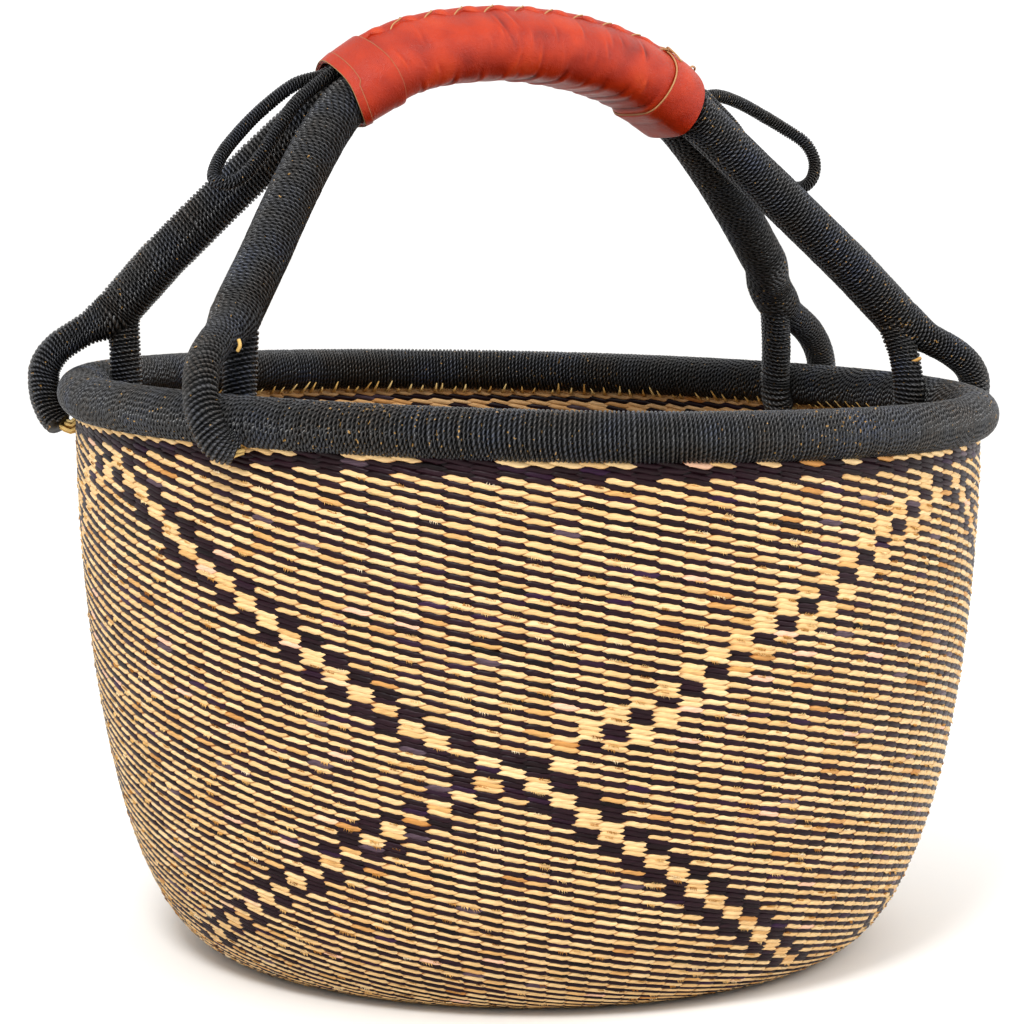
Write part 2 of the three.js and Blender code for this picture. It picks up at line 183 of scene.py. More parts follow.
def makeStudio(studio):
    half = studio["floorSize"] / 2
    corners = [(-half, -half, 0), (half, -half, 0), (half, half, 0), (-half, half, 0)]
    mesh = bpy.data.meshes.new("floor")
    mesh.from_pydata(corners, [], [(0, 1, 2, 3)])
    floor = bpy.data.objects.new("floor", mesh)
    bpy.context.scene.collection.objects.link(floor)
    paint, tree = newMaterial("matt floor paint")
    shader = addNode(tree, "ShaderNodeBsdfPrincipled",
                     links={"Base Color": toLinear(studio["floorHex"]), "Roughness": 0.9})
    mesh.materials.append(finishMaterial(paint, shader))

    world = bpy.data.worlds.new("studio")
    bpy.context.scene.world = world
    world.use_nodes = True
    tree = world.node_tree
    tree.nodes.clear()
    sky = addNode(tree, "ShaderNodeBackground", links={"Color": toLinear(studio["skyHex"]),
                                                       "Strength": studio["sky"]})
    addNode(tree, "ShaderNodeOutputWorld", links={"Surface": sky.outputs[0]})

    for number, (place, size, watts) in enumerate(studio["lamps"]):
        lamp = bpy.data.lights.new(f"lamp{number}", "AREA")
        lamp.shape = "DISK"
        lamp.size = size
        lamp.energy = watts
        holder = bpy.data.objects.new(f"lamp{number}", lamp)
        holder.location = place
        toAim = np.array(studio["aim"]) - np.array(place)
        holder.rotation_euler = (math.acos(-toAim[2] / np.linalg.norm(toAim)), 0,
                                 math.atan2(toAim[1], toAim[0]) - math.pi / 2)
        bpy.context.scene.collection.objects.link(holder)
    bpy.context.scene.view_settings.view_transform = "Standard"
    bpy.context.scene.view_settings.look = studio["contrast"]


makeCamera(cameraView)
makeStudio(studio)
print("camera and studio ready")


# Mesh helpers

def addPiece(name, points, faces, materials, node, slot, body="root", uv=None, values=None, paint=None):
    # points in millimetres; node is the frame's node or nodes that the piece stands in for; uv is one pair
    # for each vertex, or one for each corner of each face; paint is each face's place in the materials
    mesh = bpy.data.meshes.new(name)
    mesh.from_pydata((np.asarray(points) * mm).tolist(), [], faces)
    for material in materials:
        mesh.materials.append(material)
    if paint is not None:
        mesh.polygons.foreach_set("material_index", np.asarray(paint, np.int32))
    mesh.polygons.foreach_set("use_smooth", np.ones(len(mesh.polygons), bool))
    if uv is not None:
        uv = np.asarray(uv, np.float32)
        if len(uv) == len(mesh.vertices):
            corner = np.empty(len(mesh.loops), np.int32)
            mesh.loops.foreach_get("vertex_index", corner)
            uv = uv[corner]
        layer = mesh.uv_layers.new(name="fibre")
        layer.data.foreach_set("uv", uv.ravel())
    for label, numbers in (values or {}).items():
        attribute = mesh.attributes.new(label, "FLOAT", "POINT")
        attribute.data.foreach_set("value", np.asarray(numbers, np.float32).ravel())
    mesh.update()
    piece = bpy.data.objects.new(name, mesh)
    bpy.context.scene.collection.objects.link(piece)
    if body:
        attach(piece, body)
    if node:
        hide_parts(*([node] if isinstance(node, str) else node))
    return piece


def gridNumbers(rows, columns):
    # the row and the column of every place in a grid, row by row
    return [number.ravel() for number in np.meshgrid(rows, columns, indexing="ij")]


def gridFaces(rows, columns, closeRows=False, closeColumns=False, flip=False):
    # quads of a grid whose vertex (row, column) is number row * columns + column
    row, column = gridNumbers(np.arange(rows if closeRows else rows - 1),
                              np.arange(columns if closeColumns else columns - 1))
    below, beside = (row + 1) % rows, (column + 1) % columns
    corners = [row * columns + column, row * columns + beside,
               below * columns + beside, below * columns + column]
    return np.stack(corners[::-1] if flip else corners, 1)


def unit(vectors):
    return vectors / np.linalg.norm(vectors, axis=-1, keepdims=True)


def smoothPath(points, perSpan=16):
    # a curve through the points: each span is a cubic whose end slopes are half the gap between neighbours
    points = np.asarray(points, float)
    ends = np.vstack([2 * points[0] - points[1], points, 2 * points[-1] - points[-2]])
    before, start, end, after = ends[:-3, None], ends[1:-2, None], ends[2:-1, None], ends[3:, None]
    t = np.linspace(0, 1, perSpan, endpoint=False)[None, :, None]
    curve = 0.5 * (2 * start + (end - before) * t + (2 * before - 5 * start + 4 * end - after) * t ** 2
                   + (3 * start - 3 * end + after - before) * t ** 3)
    return np.vstack([curve.reshape(-1, 3), points[-1:]])


def bezier(corners, count):
    # cubic curve: the four corners weighted by (1-t)^3, 3t(1-t)^2, 3t^2(1-t) and t^3
    t = np.linspace(0, 1, count)[:, None]
    a, b, c, d = np.asarray(corners, float)
    return (1 - t) ** 3 * a + 3 * t * (1 - t) ** 2 * b + 3 * t ** 2 * (1 - t) * c + t ** 3 * d


def makeTrack(points, aside, step=1.0):
    # evenly spaced points along a curve, with two unit vectors square to it; the first leans towards aside
    points = np.asarray(points, float)
    steps = np.linalg.norm(np.diff(points, axis=0), axis=1)
    length = steps.sum()
    where = np.concatenate([[0], np.cumsum(steps)])
    at = np.linspace(0, length, int(length / step) + 2)
    centre = np.stack([np.interp(at, where, points[:, i]) for i in range(3)], 1)
    along = unit(np.gradient(centre, axis=0))
    first = np.asarray(aside, float) - along * (along @ np.asarray(aside, float))[:, None]
    first = unit(first)
    return {"length": length, "at": at, "centre": centre, "along": along, "first": first,
            "second": np.cross(along, first)}


def onTrack(track, place, key):
    return np.stack([np.interp(place, track["at"], track[key][:, i]) for i in range(3)], -1)


def offTrack(track, place, aside, up):
    # centre + aside * first + up * second, at a length along the track
    return (onTrack(track, place, "centre") + aside[..., None] * onTrack(track, place, "first")
            + up[..., None] * onTrack(track, place, "second"))


def tubePoints(track, place, turn, size):
    # the point at that angle on a circle round the track
    return offTrack(track, place, size * np.cos(turn), size * np.sin(turn))


def roundBar(track, radius, sides, steps):
    # closed tube along a track whose radius is a function of the share of its length
    share = np.linspace(0, 1, steps)[:, None]
    turn = np.linspace(0, 2 * math.pi, sides, endpoint=False)[None, :]
    place = share * track["length"] + 0 * turn
    points = tubePoints(track, place, turn + 0 * place, radius(share) + 0 * turn).reshape(-1, 3)
    faces = gridFaces(steps, sides, closeColumns=True).tolist()
    faces += [list(range(sides))[::-1], list(range((steps - 1) * sides, steps * sides))]
    uv = np.stack([place, (turn + 0 * place) * 3], -1).reshape(-1, 2)
    return points, faces, uv


def joinFaces(sizes, groups):
    # each group's faces, with their corner numbers moved on by the points that come before it
    starts = np.cumsum([0, *sizes]).tolist()
    return [[corner + start for corner in face] for faces, start in zip(groups, starts) for face in faces]


def joinParts(parts):
    # several (points, faces, uv) as one
    points, faces, uvs = zip(*parts)
    return np.vstack(points), joinFaces([len(part) for part in points], faces), np.vstack(uvs)


def tinted(points, tint=0.5):
    # the straw materials' values for a piece without bends, so with no painted tuck shade
    return {"tint": tint + 0 * points[:, 0], "ends": 0 * points[:, 0]}


# Materials

def strawMaterial(name, stops, streak, roughness, tuckShadeHex, shine=0.3):
    # dry split grass straw: fibres 5.6 mm long and 0.3 mm wide give fine streaks along each strand, and the
    # bends, where it tucks in, go to a dark colour: painted shade where a float dives under its neighbour,
    # with some brown of the bent straw
    material, tree = newMaterial(name)
    fibre = fibreNoise(tree, (0.18, 3.2), 3.0)
    base = pickColour(tree, readValue(tree, "tint"), stops)
    streaked = shadeColour(tree, base, remap(tree, fibre, 0.3, 0.62, streak, 1.07))
    # painted shade at the tucked ends: the colour goes to the tuck shade colour over the last part of each
    # float
    tuckShadeShare = remap(tree, readValue(tree, "ends"), 0.58, 0.78, 0.0, 0.95)
    colour = mixColour(tree, tuckShadeShare, streaked, tuckShadeHex)
    return finishMaterial(material, reliefShader(tree, colour, roughness, shine, fibre, 0.5, 0.25))


def cordMaterial(plyPitch=2.6):
    # two-ply twisted grass cord, dyed navy black. Along it the plies are |sin|, one every plyPitch
    # millimetres and on a slant; across it each turn is half a sine. Both paint shade into the grooves and
    # light onto the crests, as painted shade and painted highlight; hair gives bright fibres that add to the
    # painted highlights, and undyed straw shows as specks in some places
    material, tree = newMaterial("two-ply twisted dyed cord")
    uv = addNode(tree, "ShaderNodeUVMap", {"uv_map": "fibre"}).outputs[0]
    axes = addNode(tree, "ShaderNodeSeparateXYZ", links={0: uv}).outputs
    across = calculate(tree, "FRACT", axes["Y"])
    lap = calculate(tree, "FLOOR", axes["Y"])
    slip = addNode(tree, "ShaderNodeTexWhiteNoise", {"noise_dimensions": "1D"}, {"W": lap}).outputs["Value"]
    lengthwise = calculate(tree, "MULTIPLY_ADD", axes["X"], 1 / plyPitch, slip)
    slanted = calculate(tree, "MULTIPLY_ADD", across, 0.8, lengthwise)
    ply = calculate(tree, "ABSOLUTE", calculate(tree, "SINE", calculate(tree, "MULTIPLY", slanted, math.pi)))
    crest = calculate(tree, "SINE", calculate(tree, "MULTIPLY", across, math.pi))
    hair = fibreNoise(tree, (0.6, 9.0), 4.0)
    base = pickColour(tree, cloudNoise(tree, 22.22, 2.0),
                      [(0.30, "38322D"), (0.45, "353434"), (0.60, "37393F"), (0.76, "3C4252")])
    # painted shade and painted highlight: near black in the grooves between turns and between plies, full
    # colour on the crests
    paintedPlyAndCrestLight = calculate(tree, "MULTIPLY", remap(tree, ply, 0.15, 0.9, 0.02, 1.1),
                      remap(tree, crest, 0.2, 0.95, 0.0, 1.0))
    # hair scales that up to about twice, brightening fibres and the painted highlights
    paintedLightWithHair = calculate(tree, "MULTIPLY", paintedPlyAndCrestLight, remap(tree, hair, 0.3, 0.7, 0.2, 2.1))
    specks = cloudNoise(tree, 1.6129, 1.0)
    specks = calculate(tree, "MULTIPLY_ADD", cloudNoise(tree, 71.43, 1.0), 0.34, specks)
    undyed = remap(tree, specks, 0.895, 0.925, 0.0, 0.85)
    colour = mixColour(tree, undyed, shadeColour(tree, base, paintedLightWithHair), "B08A4E")
    height = calculate(tree, "MULTIPLY_ADD", crest, 1.3, calculate(tree, "MULTIPLY_ADD", hair, 0.4, ply))
    return finishMaterial(material, reliefShader(tree, colour, 0.31, 0.6, height, 1.0, 0.55))


def leatherMaterial(name, stops, grainMm):
    # thin goat leather, dyed brick red, shaped wet: fine pores and soft wrinkles across; the colour is
    # lighter on the bulges and darker in the creases and pleats, partly wear and partly painted highlight and
    # painted shade
    material, tree = newMaterial(name)
    clouds = cloudNoise(tree, 13.333, 5.0, Roughness=0.62)
    # the relief height moves the colour ramp: painted highlight on the bulges and painted shade in the
    # creases and pleats, with some wear
    wearAndPaintedLight = calculate(tree, "MULTIPLY_ADD", readValue(tree, "bulge"), 0.32, 0.26)
    base = pickColour(tree, calculate(tree, "MULTIPLY_ADD", clouds, 0.45, wearAndPaintedLight), stops)
    place = addNode(tree, "ShaderNodeTexCoord").outputs["Object"]
    pores = addNode(tree, "ShaderNodeTexVoronoi", links={"Vector": place, "Scale": 1 / (grainMm * mm)})
    wrinkles = fibreNoise(tree, (0.62, 0.26), 5.0, Distortion=0.6)
    height = calculate(tree, "MULTIPLY_ADD", wrinkles, 1.5, pores.outputs["Distance"])
    rough = remap(tree, clouds, 0.35, 0.65, 0.34, 0.5)
    return finishMaterial(material, reliefShader(tree, base, rough, 0.42, height, 0.45, 0.4))


naturalStraw = strawMaterial(
    "twined natural straw",
    [(0.0, "BE8648"), (0.15, "D3A468"), (0.45, "DFB983"), (0.85, "EACB9A"), (1.0, "E8BC9E")],
    streak=0.64, roughness=0.55, tuckShadeHex="8A4E1C")
dyedStraw = strawMaterial(
    "twined dyed straw",
    [(0.0, "12080A"), (0.35, "221014"), (0.75, "2E1620"), (0.92, "36183C"), (1.0, "5C4A54")],
    streak=0.36, roughness=0.40, tuckShadeHex="040202", shine=0.2)
coreStraw = strawMaterial("bundled grass stalks", [(0.0, "B98A48"), (0.5, "DDB872"), (1.0, "EED59A")],
                          streak=0.65, roughness=0.6, tuckShadeHex="7A5228")
frayStraw = strawMaterial(
    "torn straw fibre",
    [(0.0, "8A5624"), (0.25, "C08C4A"), (0.6, "DDB374"), (0.9, "EACB96"), (1.0, "F2E2C4")],
    streak=0.85, roughness=0.6, tuckShadeHex="8A5A2A")
threadStraw = strawMaterial("waxed flax thread", [(0.0, "A47850"), (1.0, "C49A6E")],
                            streak=0.7, roughness=0.55, tuckShadeHex="9A7040")
cutLeather = strawMaterial("undyed cut leather edge", [(0.0, "8E6E4C"), (1.0, "A68660")],
                           streak=0.8, roughness=0.7, tuckShadeHex="8A6A48")
windingCord = cordMaterial()
sleeveLeather = leatherMaterial(
    "wet-shaped red leather", [(0.26, "701404"), (0.42, "962404"), (0.58, "AC3208"), (0.78, "BC4A1A")],
    grainMm=0.45)
print("materials ready")


# Woven body

bodyShape = {"flatRadius": 128.0, "fullness": 0.84, "thickness": 5.0, "flatPoints": 399, "wallPoints": 3000}
rim = {"radius": 10.0, "height": 235.0, "middle": 193.0}    # over the cord, and the circle of its middle line

weave = {
    "stakes": 121,         # odd, so that the two strands swap places at every round
    "topPitch": 2.2,       # height of a row at the rim
    "lowPitch": 1.95,      # and at the base
    "pitchRows": 126,      # rows over which it goes from one to the other
    "stretch": 1.42,       # length of a strand's float over the distance between stakes
    "fat": 1.36,           # its width over the height of a row
    "light": 0.93,         # width of a natural float over that
    "bulge": 1.35,         # how far its ends go in behind the stakes
    "crown": 0.95,         # how far its edges fall away
    "shear": 0.33,         # how far its upper edge runs ahead of its lower one, over the distance
    "tilt": 2.4,           # the rim hangs lower to the right: millimetres for each 100 to the side
    "chance": {            # how floats differ: place, width, lift, slant and colour
        "line": 0.11, "turn": 0.02, "width": 0.11, "lift": 0.10, "mostLift": 0.05, "tilt": 0.028,
        "shear": (0.6, 1.4), "tint": (0.55, 0.14), "darker": 0.03, "faded": 0.985},
}

lattice = {                # two bands that cross three times round the body, in degrees from the front
    "front": -117.0,
    "repeats": 3,
    "crossHeight": 105.0,
    "falling": [(13.5, 43.0), (106.8, -1.75), (117.0, -11.0), (214.5, -58.5)],
    "rising": [(13.5, -58.0), (106.8, -1.75), (117.0, 7.5), (214.0, 57.75)],
}


def bodyProfile(shape):
    # out along the flat base, then up the wall: radius = flat + (top - flat) * sin(turn)^fullness and
    # height = top * (1 - cos(turn)), with the length of the line so far and its outward normal; the points
    # of the wall stand closer together near its foot
    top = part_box("woven_wall")[1]
    topRadius, topHeight = top.x / mm, top.z / mm
    turn = np.linspace(0, 1, shape["wallPoints"]) ** 1.6 * math.pi / 2
    radius = shape["flatRadius"] + (topRadius - shape["flatRadius"]) * np.sin(turn) ** shape["fullness"]
    height = topHeight * (1 - np.cos(turn))
    flat = np.linspace(0, shape["flatRadius"], shape["flatPoints"] + 1)[:-1]
    radius = np.concatenate([flat, radius])
    height = np.concatenate([0 * flat, height])
    line = np.concatenate([[0], np.cumsum(np.hypot(np.diff(radius), np.diff(height)))])
    return {"line": line, "radius": radius, "height": height, "outward": np.gradient(height, line),
            "upward": -np.gradient(radius, line)}


profile = bodyProfile(bodyShape)
topLine = profile["line"][-1]


def atLine(line, key):
    # one of the profile's measures at a length along it
    return np.interp(line, profile["line"], profile[key])


def onBody(line, angle, offset):
    # the profile's point at that length along it, moved off by its normal and turned to the angle; the rim's
    # tilt fades out towards the base by height^1.5
    radius = atLine(line, "radius") + offset * atLine(line, "outward")
    height = atLine(line, "height") + offset * atLine(line, "upward")
    across, away = radius * np.cos(angle), radius * np.sin(angle)
    share = np.clip(height / rim["height"], 0, 1) ** 1.5
    return np.stack([across, away, height + rimTilt(across, away) * share], -1)


def rimTilt(across, away):
    # how much higher than level the handmade rim stands, growing evenly from right to left
    turn = math.radians(cameraView["turnDeg"])
    return -weave["tilt"] / 100 * (across * math.cos(turn) - away * math.sin(turn))


def lineAtHeight(height):
    foot = bodyShape["flatPoints"] + 1
    return np.interp(height, profile["height"][foot:], profile["line"][foot:])


def rowLine(row):
    # length along the profile of a row counted from the rim: its pitch goes evenly from one size to the other
    inner = np.minimum(row, weave["pitchRows"])
    change = (weave["topPitch"] - weave["lowPitch"]) / (2 * weave["pitchRows"])
    return (topLine - weave["topPitch"] * inner + change * inner ** 2 - weave["lowPitch"] * (row - inner))


def isLight(row, column, line, angle):
    # natural and dyed floats take turns; on a band the colours hold one column, so they stand in stacks;
    # the first row is natural but for some scattered columns, and the next two are dyed
    light = (row + column) % 2 == 0
    broken = (np.sin(column * 12.9898) * 437.585) % 1 > 0.3
    light = np.where(row < 1, broken, np.where(row < 3, False, light))
    crossLine = lineAtHeight(lattice["crossHeight"])
    for repeat in range(lattice["repeats"]):
        for way in ("rising", "falling"):
            heights, degrees = np.array(lattice[way]).T
            lines = lineAtHeight(heights)
            degrees = degrees + lattice["front"] + 360 * repeat / lattice["repeats"]
            middle = np.radians(np.interp(line, lines, degrees))
            away = (angle - middle + math.pi) % (2 * math.pi) - math.pi
            aside = np.round(away * weave["stakes"] / (2 * math.pi))
            inside = (line > lines[0]) & (line < lines[-1]) & (np.abs(aside) <= 1)
            centre = aside == 0
            if way == "rising":
                centre = np.where(line > crossLine, ~centre, centre)
            light = np.where(inside, centre, light)
    return light


def twinedFloats(side, lowLine, highLine, columns, places):
    # every float is flat over its stake and dives at both ends, by a share of t^2 and a share of t^6, where t
    # goes from -1 to 1 along it; it falls one row on its way to the next stake; side is 1 on the outside and
    # -1 on the inside, where the colours are the other way round below the first rows
    differ = weave["chance"]
    rows = np.arange(0, 240)
    lines = rowLine(rows + 0.5)
    rows = rows[(lines >= lowLine) & (lines < highLine)]
    row, column = gridNumbers(rows, np.arange(columns))
    count = len(row)
    angle = 2 * math.pi * (column + (0.0 if side > 0 else 0.5)) / columns
    line = rowLine(row + 0.5 + column / columns) + chance.normal(0, differ["line"], count)
    angle = angle + chance.normal(0, differ["turn"], count) * 2 * math.pi / columns
    pitch = np.where(row < weave["pitchRows"], weave["topPitch"], weave["lowPitch"])
    radius = atLine(line, "radius")
    gap = radius * 2 * math.pi / columns
    light = isLight(row, column, line, angle)
    if side < 0:
        light = np.where(row < 4, (row == 0) | (row % 2 == 1), ~light)
    wider = chance.normal(1.0, differ["width"], count)
    higher = np.minimum(chance.normal(0, differ["lift"], count), differ["mostLift"])
    tilt = chance.normal(0, differ["tilt"], count)
    shear = weave["shear"] * gap * chance.uniform(*differ["shear"], count)

    stations = len(places)
    t = np.array(places)[None, :, None]
    edge = np.array([-1.0, 0.0, 1.0])[None, None, :]
    half = (0.5 * weave["stretch"] * gap)[:, None, None]
    fall = (side * pitch / gap + tilt)[:, None, None]
    taper = np.maximum(1 - np.abs(t) ** 6, 0.5) ** 0.6
    size = pitch * wider * np.where(light, weave["light"], 1.0)
    width = 0.5 * weave["fat"] * size[:, None, None] * taper
    along = t * half + edge * side * shear[:, None, None]
    up = edge * width - fall * t * half
    lift = (-weave["bulge"] * (0.25 * t ** 2 + 0.75 * t ** 6) - weave["crown"] * np.abs(edge)
            + higher[:, None, None])
    offset = lift if side > 0 else -bodyShape["thickness"] - lift
    points = onBody(line[:, None, None] + up, angle[:, None, None] + along / radius[:, None, None], offset)

    ringFaces = gridFaces(stations, 3, closeColumns=True, flip=side < 0)[:, [0, 3, 2, 1]]
    caps = np.array([[0, 1, 2], [3 * stations - 3, 3 * stations - 1, 3 * stations - 2]])[:, ::side]
    start = (np.arange(count) * 3 * stations)[:, None, None]
    quads = (start + ringFaces[None]).reshape(-1, 4)
    triangles = (start + caps[None]).reshape(-1, 3)
    paint = np.concatenate([np.repeat(~light, len(ringFaces)), np.repeat(~light, 2)])
    uv = np.stack([(along + chance.uniform(0, 400, count)[:, None, None]) + 0 * up,
                   up + chance.uniform(0, 90, count)[:, None, None]], -1)
    tint = np.clip(chance.normal(*differ["tint"], count), 0, 0.93)
    odd = chance.random(count)
    tint = np.where(odd > differ["faded"], 1.0, tint)
    tint = np.where(odd < differ["darker"], chance.uniform(0, 0.2, count), tint)
    tint = tint[:, None, None] + 0 * up
    # share of the way to the float's end: the straw materials paint shade near the ends, where it tucks under
    # its neighbour
    ends = np.abs(t) + 0 * up
    return {"points": points.reshape(-1, 3), "faces": quads.tolist() + triangles.tolist(), "paint": paint,
            "uv": uv.reshape(-1, 2), "values": {"tint": tint.ravel(), "ends": ends.ravel()}}


longStations = (-1.0, -0.86, -0.5, 0.5, 0.86, 1.0)
shortStations = (-1.0, -0.65, 0.65, 1.0)


def joinFloats(groups):
    # several results of twinedFloats as one
    points, faces, values = [[group[key] for group in groups] for key in ("points", "faces", "values")]
    return {"points": np.vstack(points), "faces": joinFaces([len(part) for part in points], faces),
            **{key: np.concatenate([group[key] for group in groups]) for key in ("paint", "uv")},
            "values": {key: np.concatenate([part[key] for part in values]) for key in ("tint", "ends")}}


wallPiece = {"node": "woven_wall", "slot": "woven_straw"}
basePiece = {"node": "woven_base", "slot": "woven_straw"}
baseRings = [              # from radius, to radius, stakes
    (76.0, bodyShape["flatRadius"], weave["stakes"]),
    (38.0, 76.0, 61),
    (18.0, 38.0, 31),
    (3.0, 18.0, 15),
]


def makeWeave():
    # the wall in three bands, then the base, where fewer stakes reach the middle
    straws = [naturalStraw, dyedStraw]
    cuts = np.linspace(bodyShape["flatRadius"], topLine, 4)
    for part, low, high in zip(("lower", "middle", "upper"), cuts, cuts[1:]):
        for side, face, stations in ((1, "outside", longStations), (-1, "inside", shortStations)):
            floats = twinedFloats(side, low, high, weave["stakes"], stations)
            addPiece(f"wall_weave_{face}_{part}", materials=straws, **floats, **wallPiece)
    for side, face in ((1, "underside"), (-1, "inside")):
        rings = [twinedFloats(side, low, high, columns, shortStations) for low, high, columns in baseRings]
        addPiece(f"base_weave_{face}", materials=straws, **joinFloats(rings), **basePiece)


def makeStakeShadeSheet():
    # the stakes between the two faces of the weave, as a thin shell at half the wall's thickness: its dark
    # straw is painted shade for what shows in the gaps between floats
    rows, around = 90, 2 * weave["stakes"]
    lines = np.linspace(0.5, topLine - 0.5, rows)
    angles = np.linspace(0, 2 * math.pi, around, endpoint=False)
    middle = -bodyShape["thickness"] / 2
    outer = onBody(lines[:, None], angles[None, :], middle + 0.5)
    inner = onBody(lines[::-1, None], angles[None, :], middle - 0.5)
    points = np.vstack([outer.reshape(-1, 3), inner.reshape(-1, 3)])
    faces = gridFaces(2 * rows, around, closeRows=True, closeColumns=True)
    addPiece("stake_shade_sheet", points, faces.tolist(), [dyedStraw], uv=points[:, :2],
             values=tinted(points, 0.3), **wallPiece)


tips = {
    "count": 205,
    "height": 6.0,         # of the tallest
    "below": 3.3,          # their feet, below the wall's top
    "lean": 0.95,          # how far they lean in to lie against the rim's winding, over their height
    "off": (0.6, -0.8),    # how far foot and tip stand off the wall's inside
    "stray": 0.18,         # how unevenly they are spaced, over their spacing
    "aslant": 0.9,         # and how far their tips stray sideways
    "half": (0.9, 0.18),   # half their width at the foot and at the tip
    "deep": (0.9, 0.5),    # how thick they are there
    "radius": 190.0,       # of the wall's inside under the rim
}


def makeStakeTips():
    # trimmed ends of the stakes: four-sided spikes in a row along the inside under the rim
    count = tips["count"]
    angle = (np.arange(count) + chance.normal(0, tips["stray"], count)) * 2 * math.pi / count
    tall = tips["height"] * chance.uniform(0.3, 1.0, count)
    aslant = chance.normal(0, tips["aslant"], count)
    points = np.empty((count, 8, 3))
    for number, (side, depth, top) in enumerate([(x, y, z) for z in (0, 1) for x in (-1, 1) for y in (0, 1)]):
        wide = tips["half"][top] * side + aslant * top
        line = topLine - tips["below"] + tall * top
        offset = tips["off"][top] - tall * tips["lean"] * top - tips["deep"][top] * depth
        offset = offset - bodyShape["thickness"]
        points[:, number] = onBody(np.minimum(line, topLine - 0.01), angle + wide / tips["radius"], offset)
        points[:, number, 2] += np.maximum(line - topLine, 0)
    points = points.reshape(-1, 3)
    box = np.array([[0, 1, 3, 2], [4, 6, 7, 5], [0, 4, 5, 1], [2, 3, 7, 6], [0, 2, 6, 4], [1, 5, 7, 3]])
    faces = (np.arange(count)[:, None, None] * 8 + box[None]).reshape(-1, 4)
    tint = chance.uniform(0.1, 0.9, count).repeat(8)
    addPiece("stake_tips", points, faces.tolist(), [coreStraw], uv=points[:, [2, 0]],
             values=tinted(points, tint), **wallPiece)


frays = {
    "clusters": 4600,      # places tried; those on a natural float of the wall stay
    "teeth": 7,            # fibre ends in each
    "rows": (3, 128),      # counted from the rim
    "row": 2.1,            # height of a row
    "start": (-3.6, 1.6),  # of a comb, from the middle of its float
    "step": (0.40, 0.62),  # from one fibre to the next
    "size": (0.25, 1.05),
    "half": 0.26,          # half a fibre's width
    "lean": (0.25, 0.35),  # of a tip along the row: its mean, and how much fibres differ
}


def makeFrays():
    # torn fibre ends in short combs along the edges of the natural floats, standing over the dyed ones; each
    # is a thin pyramid that leans along the row
    clusters, teeth, half = frays["clusters"], frays["teeth"], frays["half"]
    row = chance.integers(*frays["rows"], clusters)
    column = chance.integers(0, weave["stakes"], clusters)
    angle = 2 * math.pi * column / weave["stakes"]
    line = rowLine(row + 0.5 + column / weave["stakes"])
    keep = isLight(row, column, line, angle) & (line > bodyShape["flatRadius"] + 4)
    angle, line = angle[keep], line[keep]
    count = len(line)
    radius = atLine(line, "radius")
    gap = radius * 2 * math.pi / weave["stakes"]
    way = np.where(chance.random(count) < 0.45, -1.0, 1.0)[:, None]
    start = chance.uniform(*frays["start"], count)[:, None]
    place = start + np.arange(teeth)[None, :] * chance.uniform(*frays["step"], count)[:, None]
    size = chance.uniform(*frays["size"], (count, teeth)) * (chance.random((count, teeth)) < 0.85)
    size = np.maximum(size, 0.08)
    lean = chance.normal(*frays["lean"], (count, teeth))
    edge = line[:, None] + way * 0.46 * frays["row"] - place * frays["row"] / gap[:, None]
    spin = angle[:, None] + 0 * place
    deep = 0.25 * np.abs(place / gap[:, None] * 2) ** 2

    def corner(aside, forward, lift):
        return onBody(edge + forward, spin + (place + aside) / radius[:, None], lift - deep)

    points = np.stack([corner(-half, -0.5 * way, -0.7), corner(half, -0.5 * way, -0.7),
                       corner(0.0, -0.4 * way, 0.0), corner(lean, way * size, 0.1 + 0.3 * size)],
                      2).reshape(-1, 3)
    pyramid = np.array([[0, 1, 2], [0, 3, 1], [1, 3, 2], [2, 3, 0]])
    faces = np.arange(count * teeth)[:, None, None] * 4 + pyramid
    tint = np.repeat(chance.uniform(0, 1, count), teeth * 4)
    addPiece("straw_frays", points, faces.reshape(-1, 3).tolist(), [frayStraw], uv=points[:, :2],
             values=tinted(points, tint), **wallPiece)


makeWeave()
makeStakeShadeSheet()
makeStakeTips()
makeFrays()
print("woven body ready")


# Cord windings

hand = {"wander": 0.09}      # how uneven the turns are, over their pitch
rimLook = {"pitch": 1.78, "cord": 1.15, "steps": 4, "around": 28, "lean": 1.2, "leanAt": 0.25, **hand}


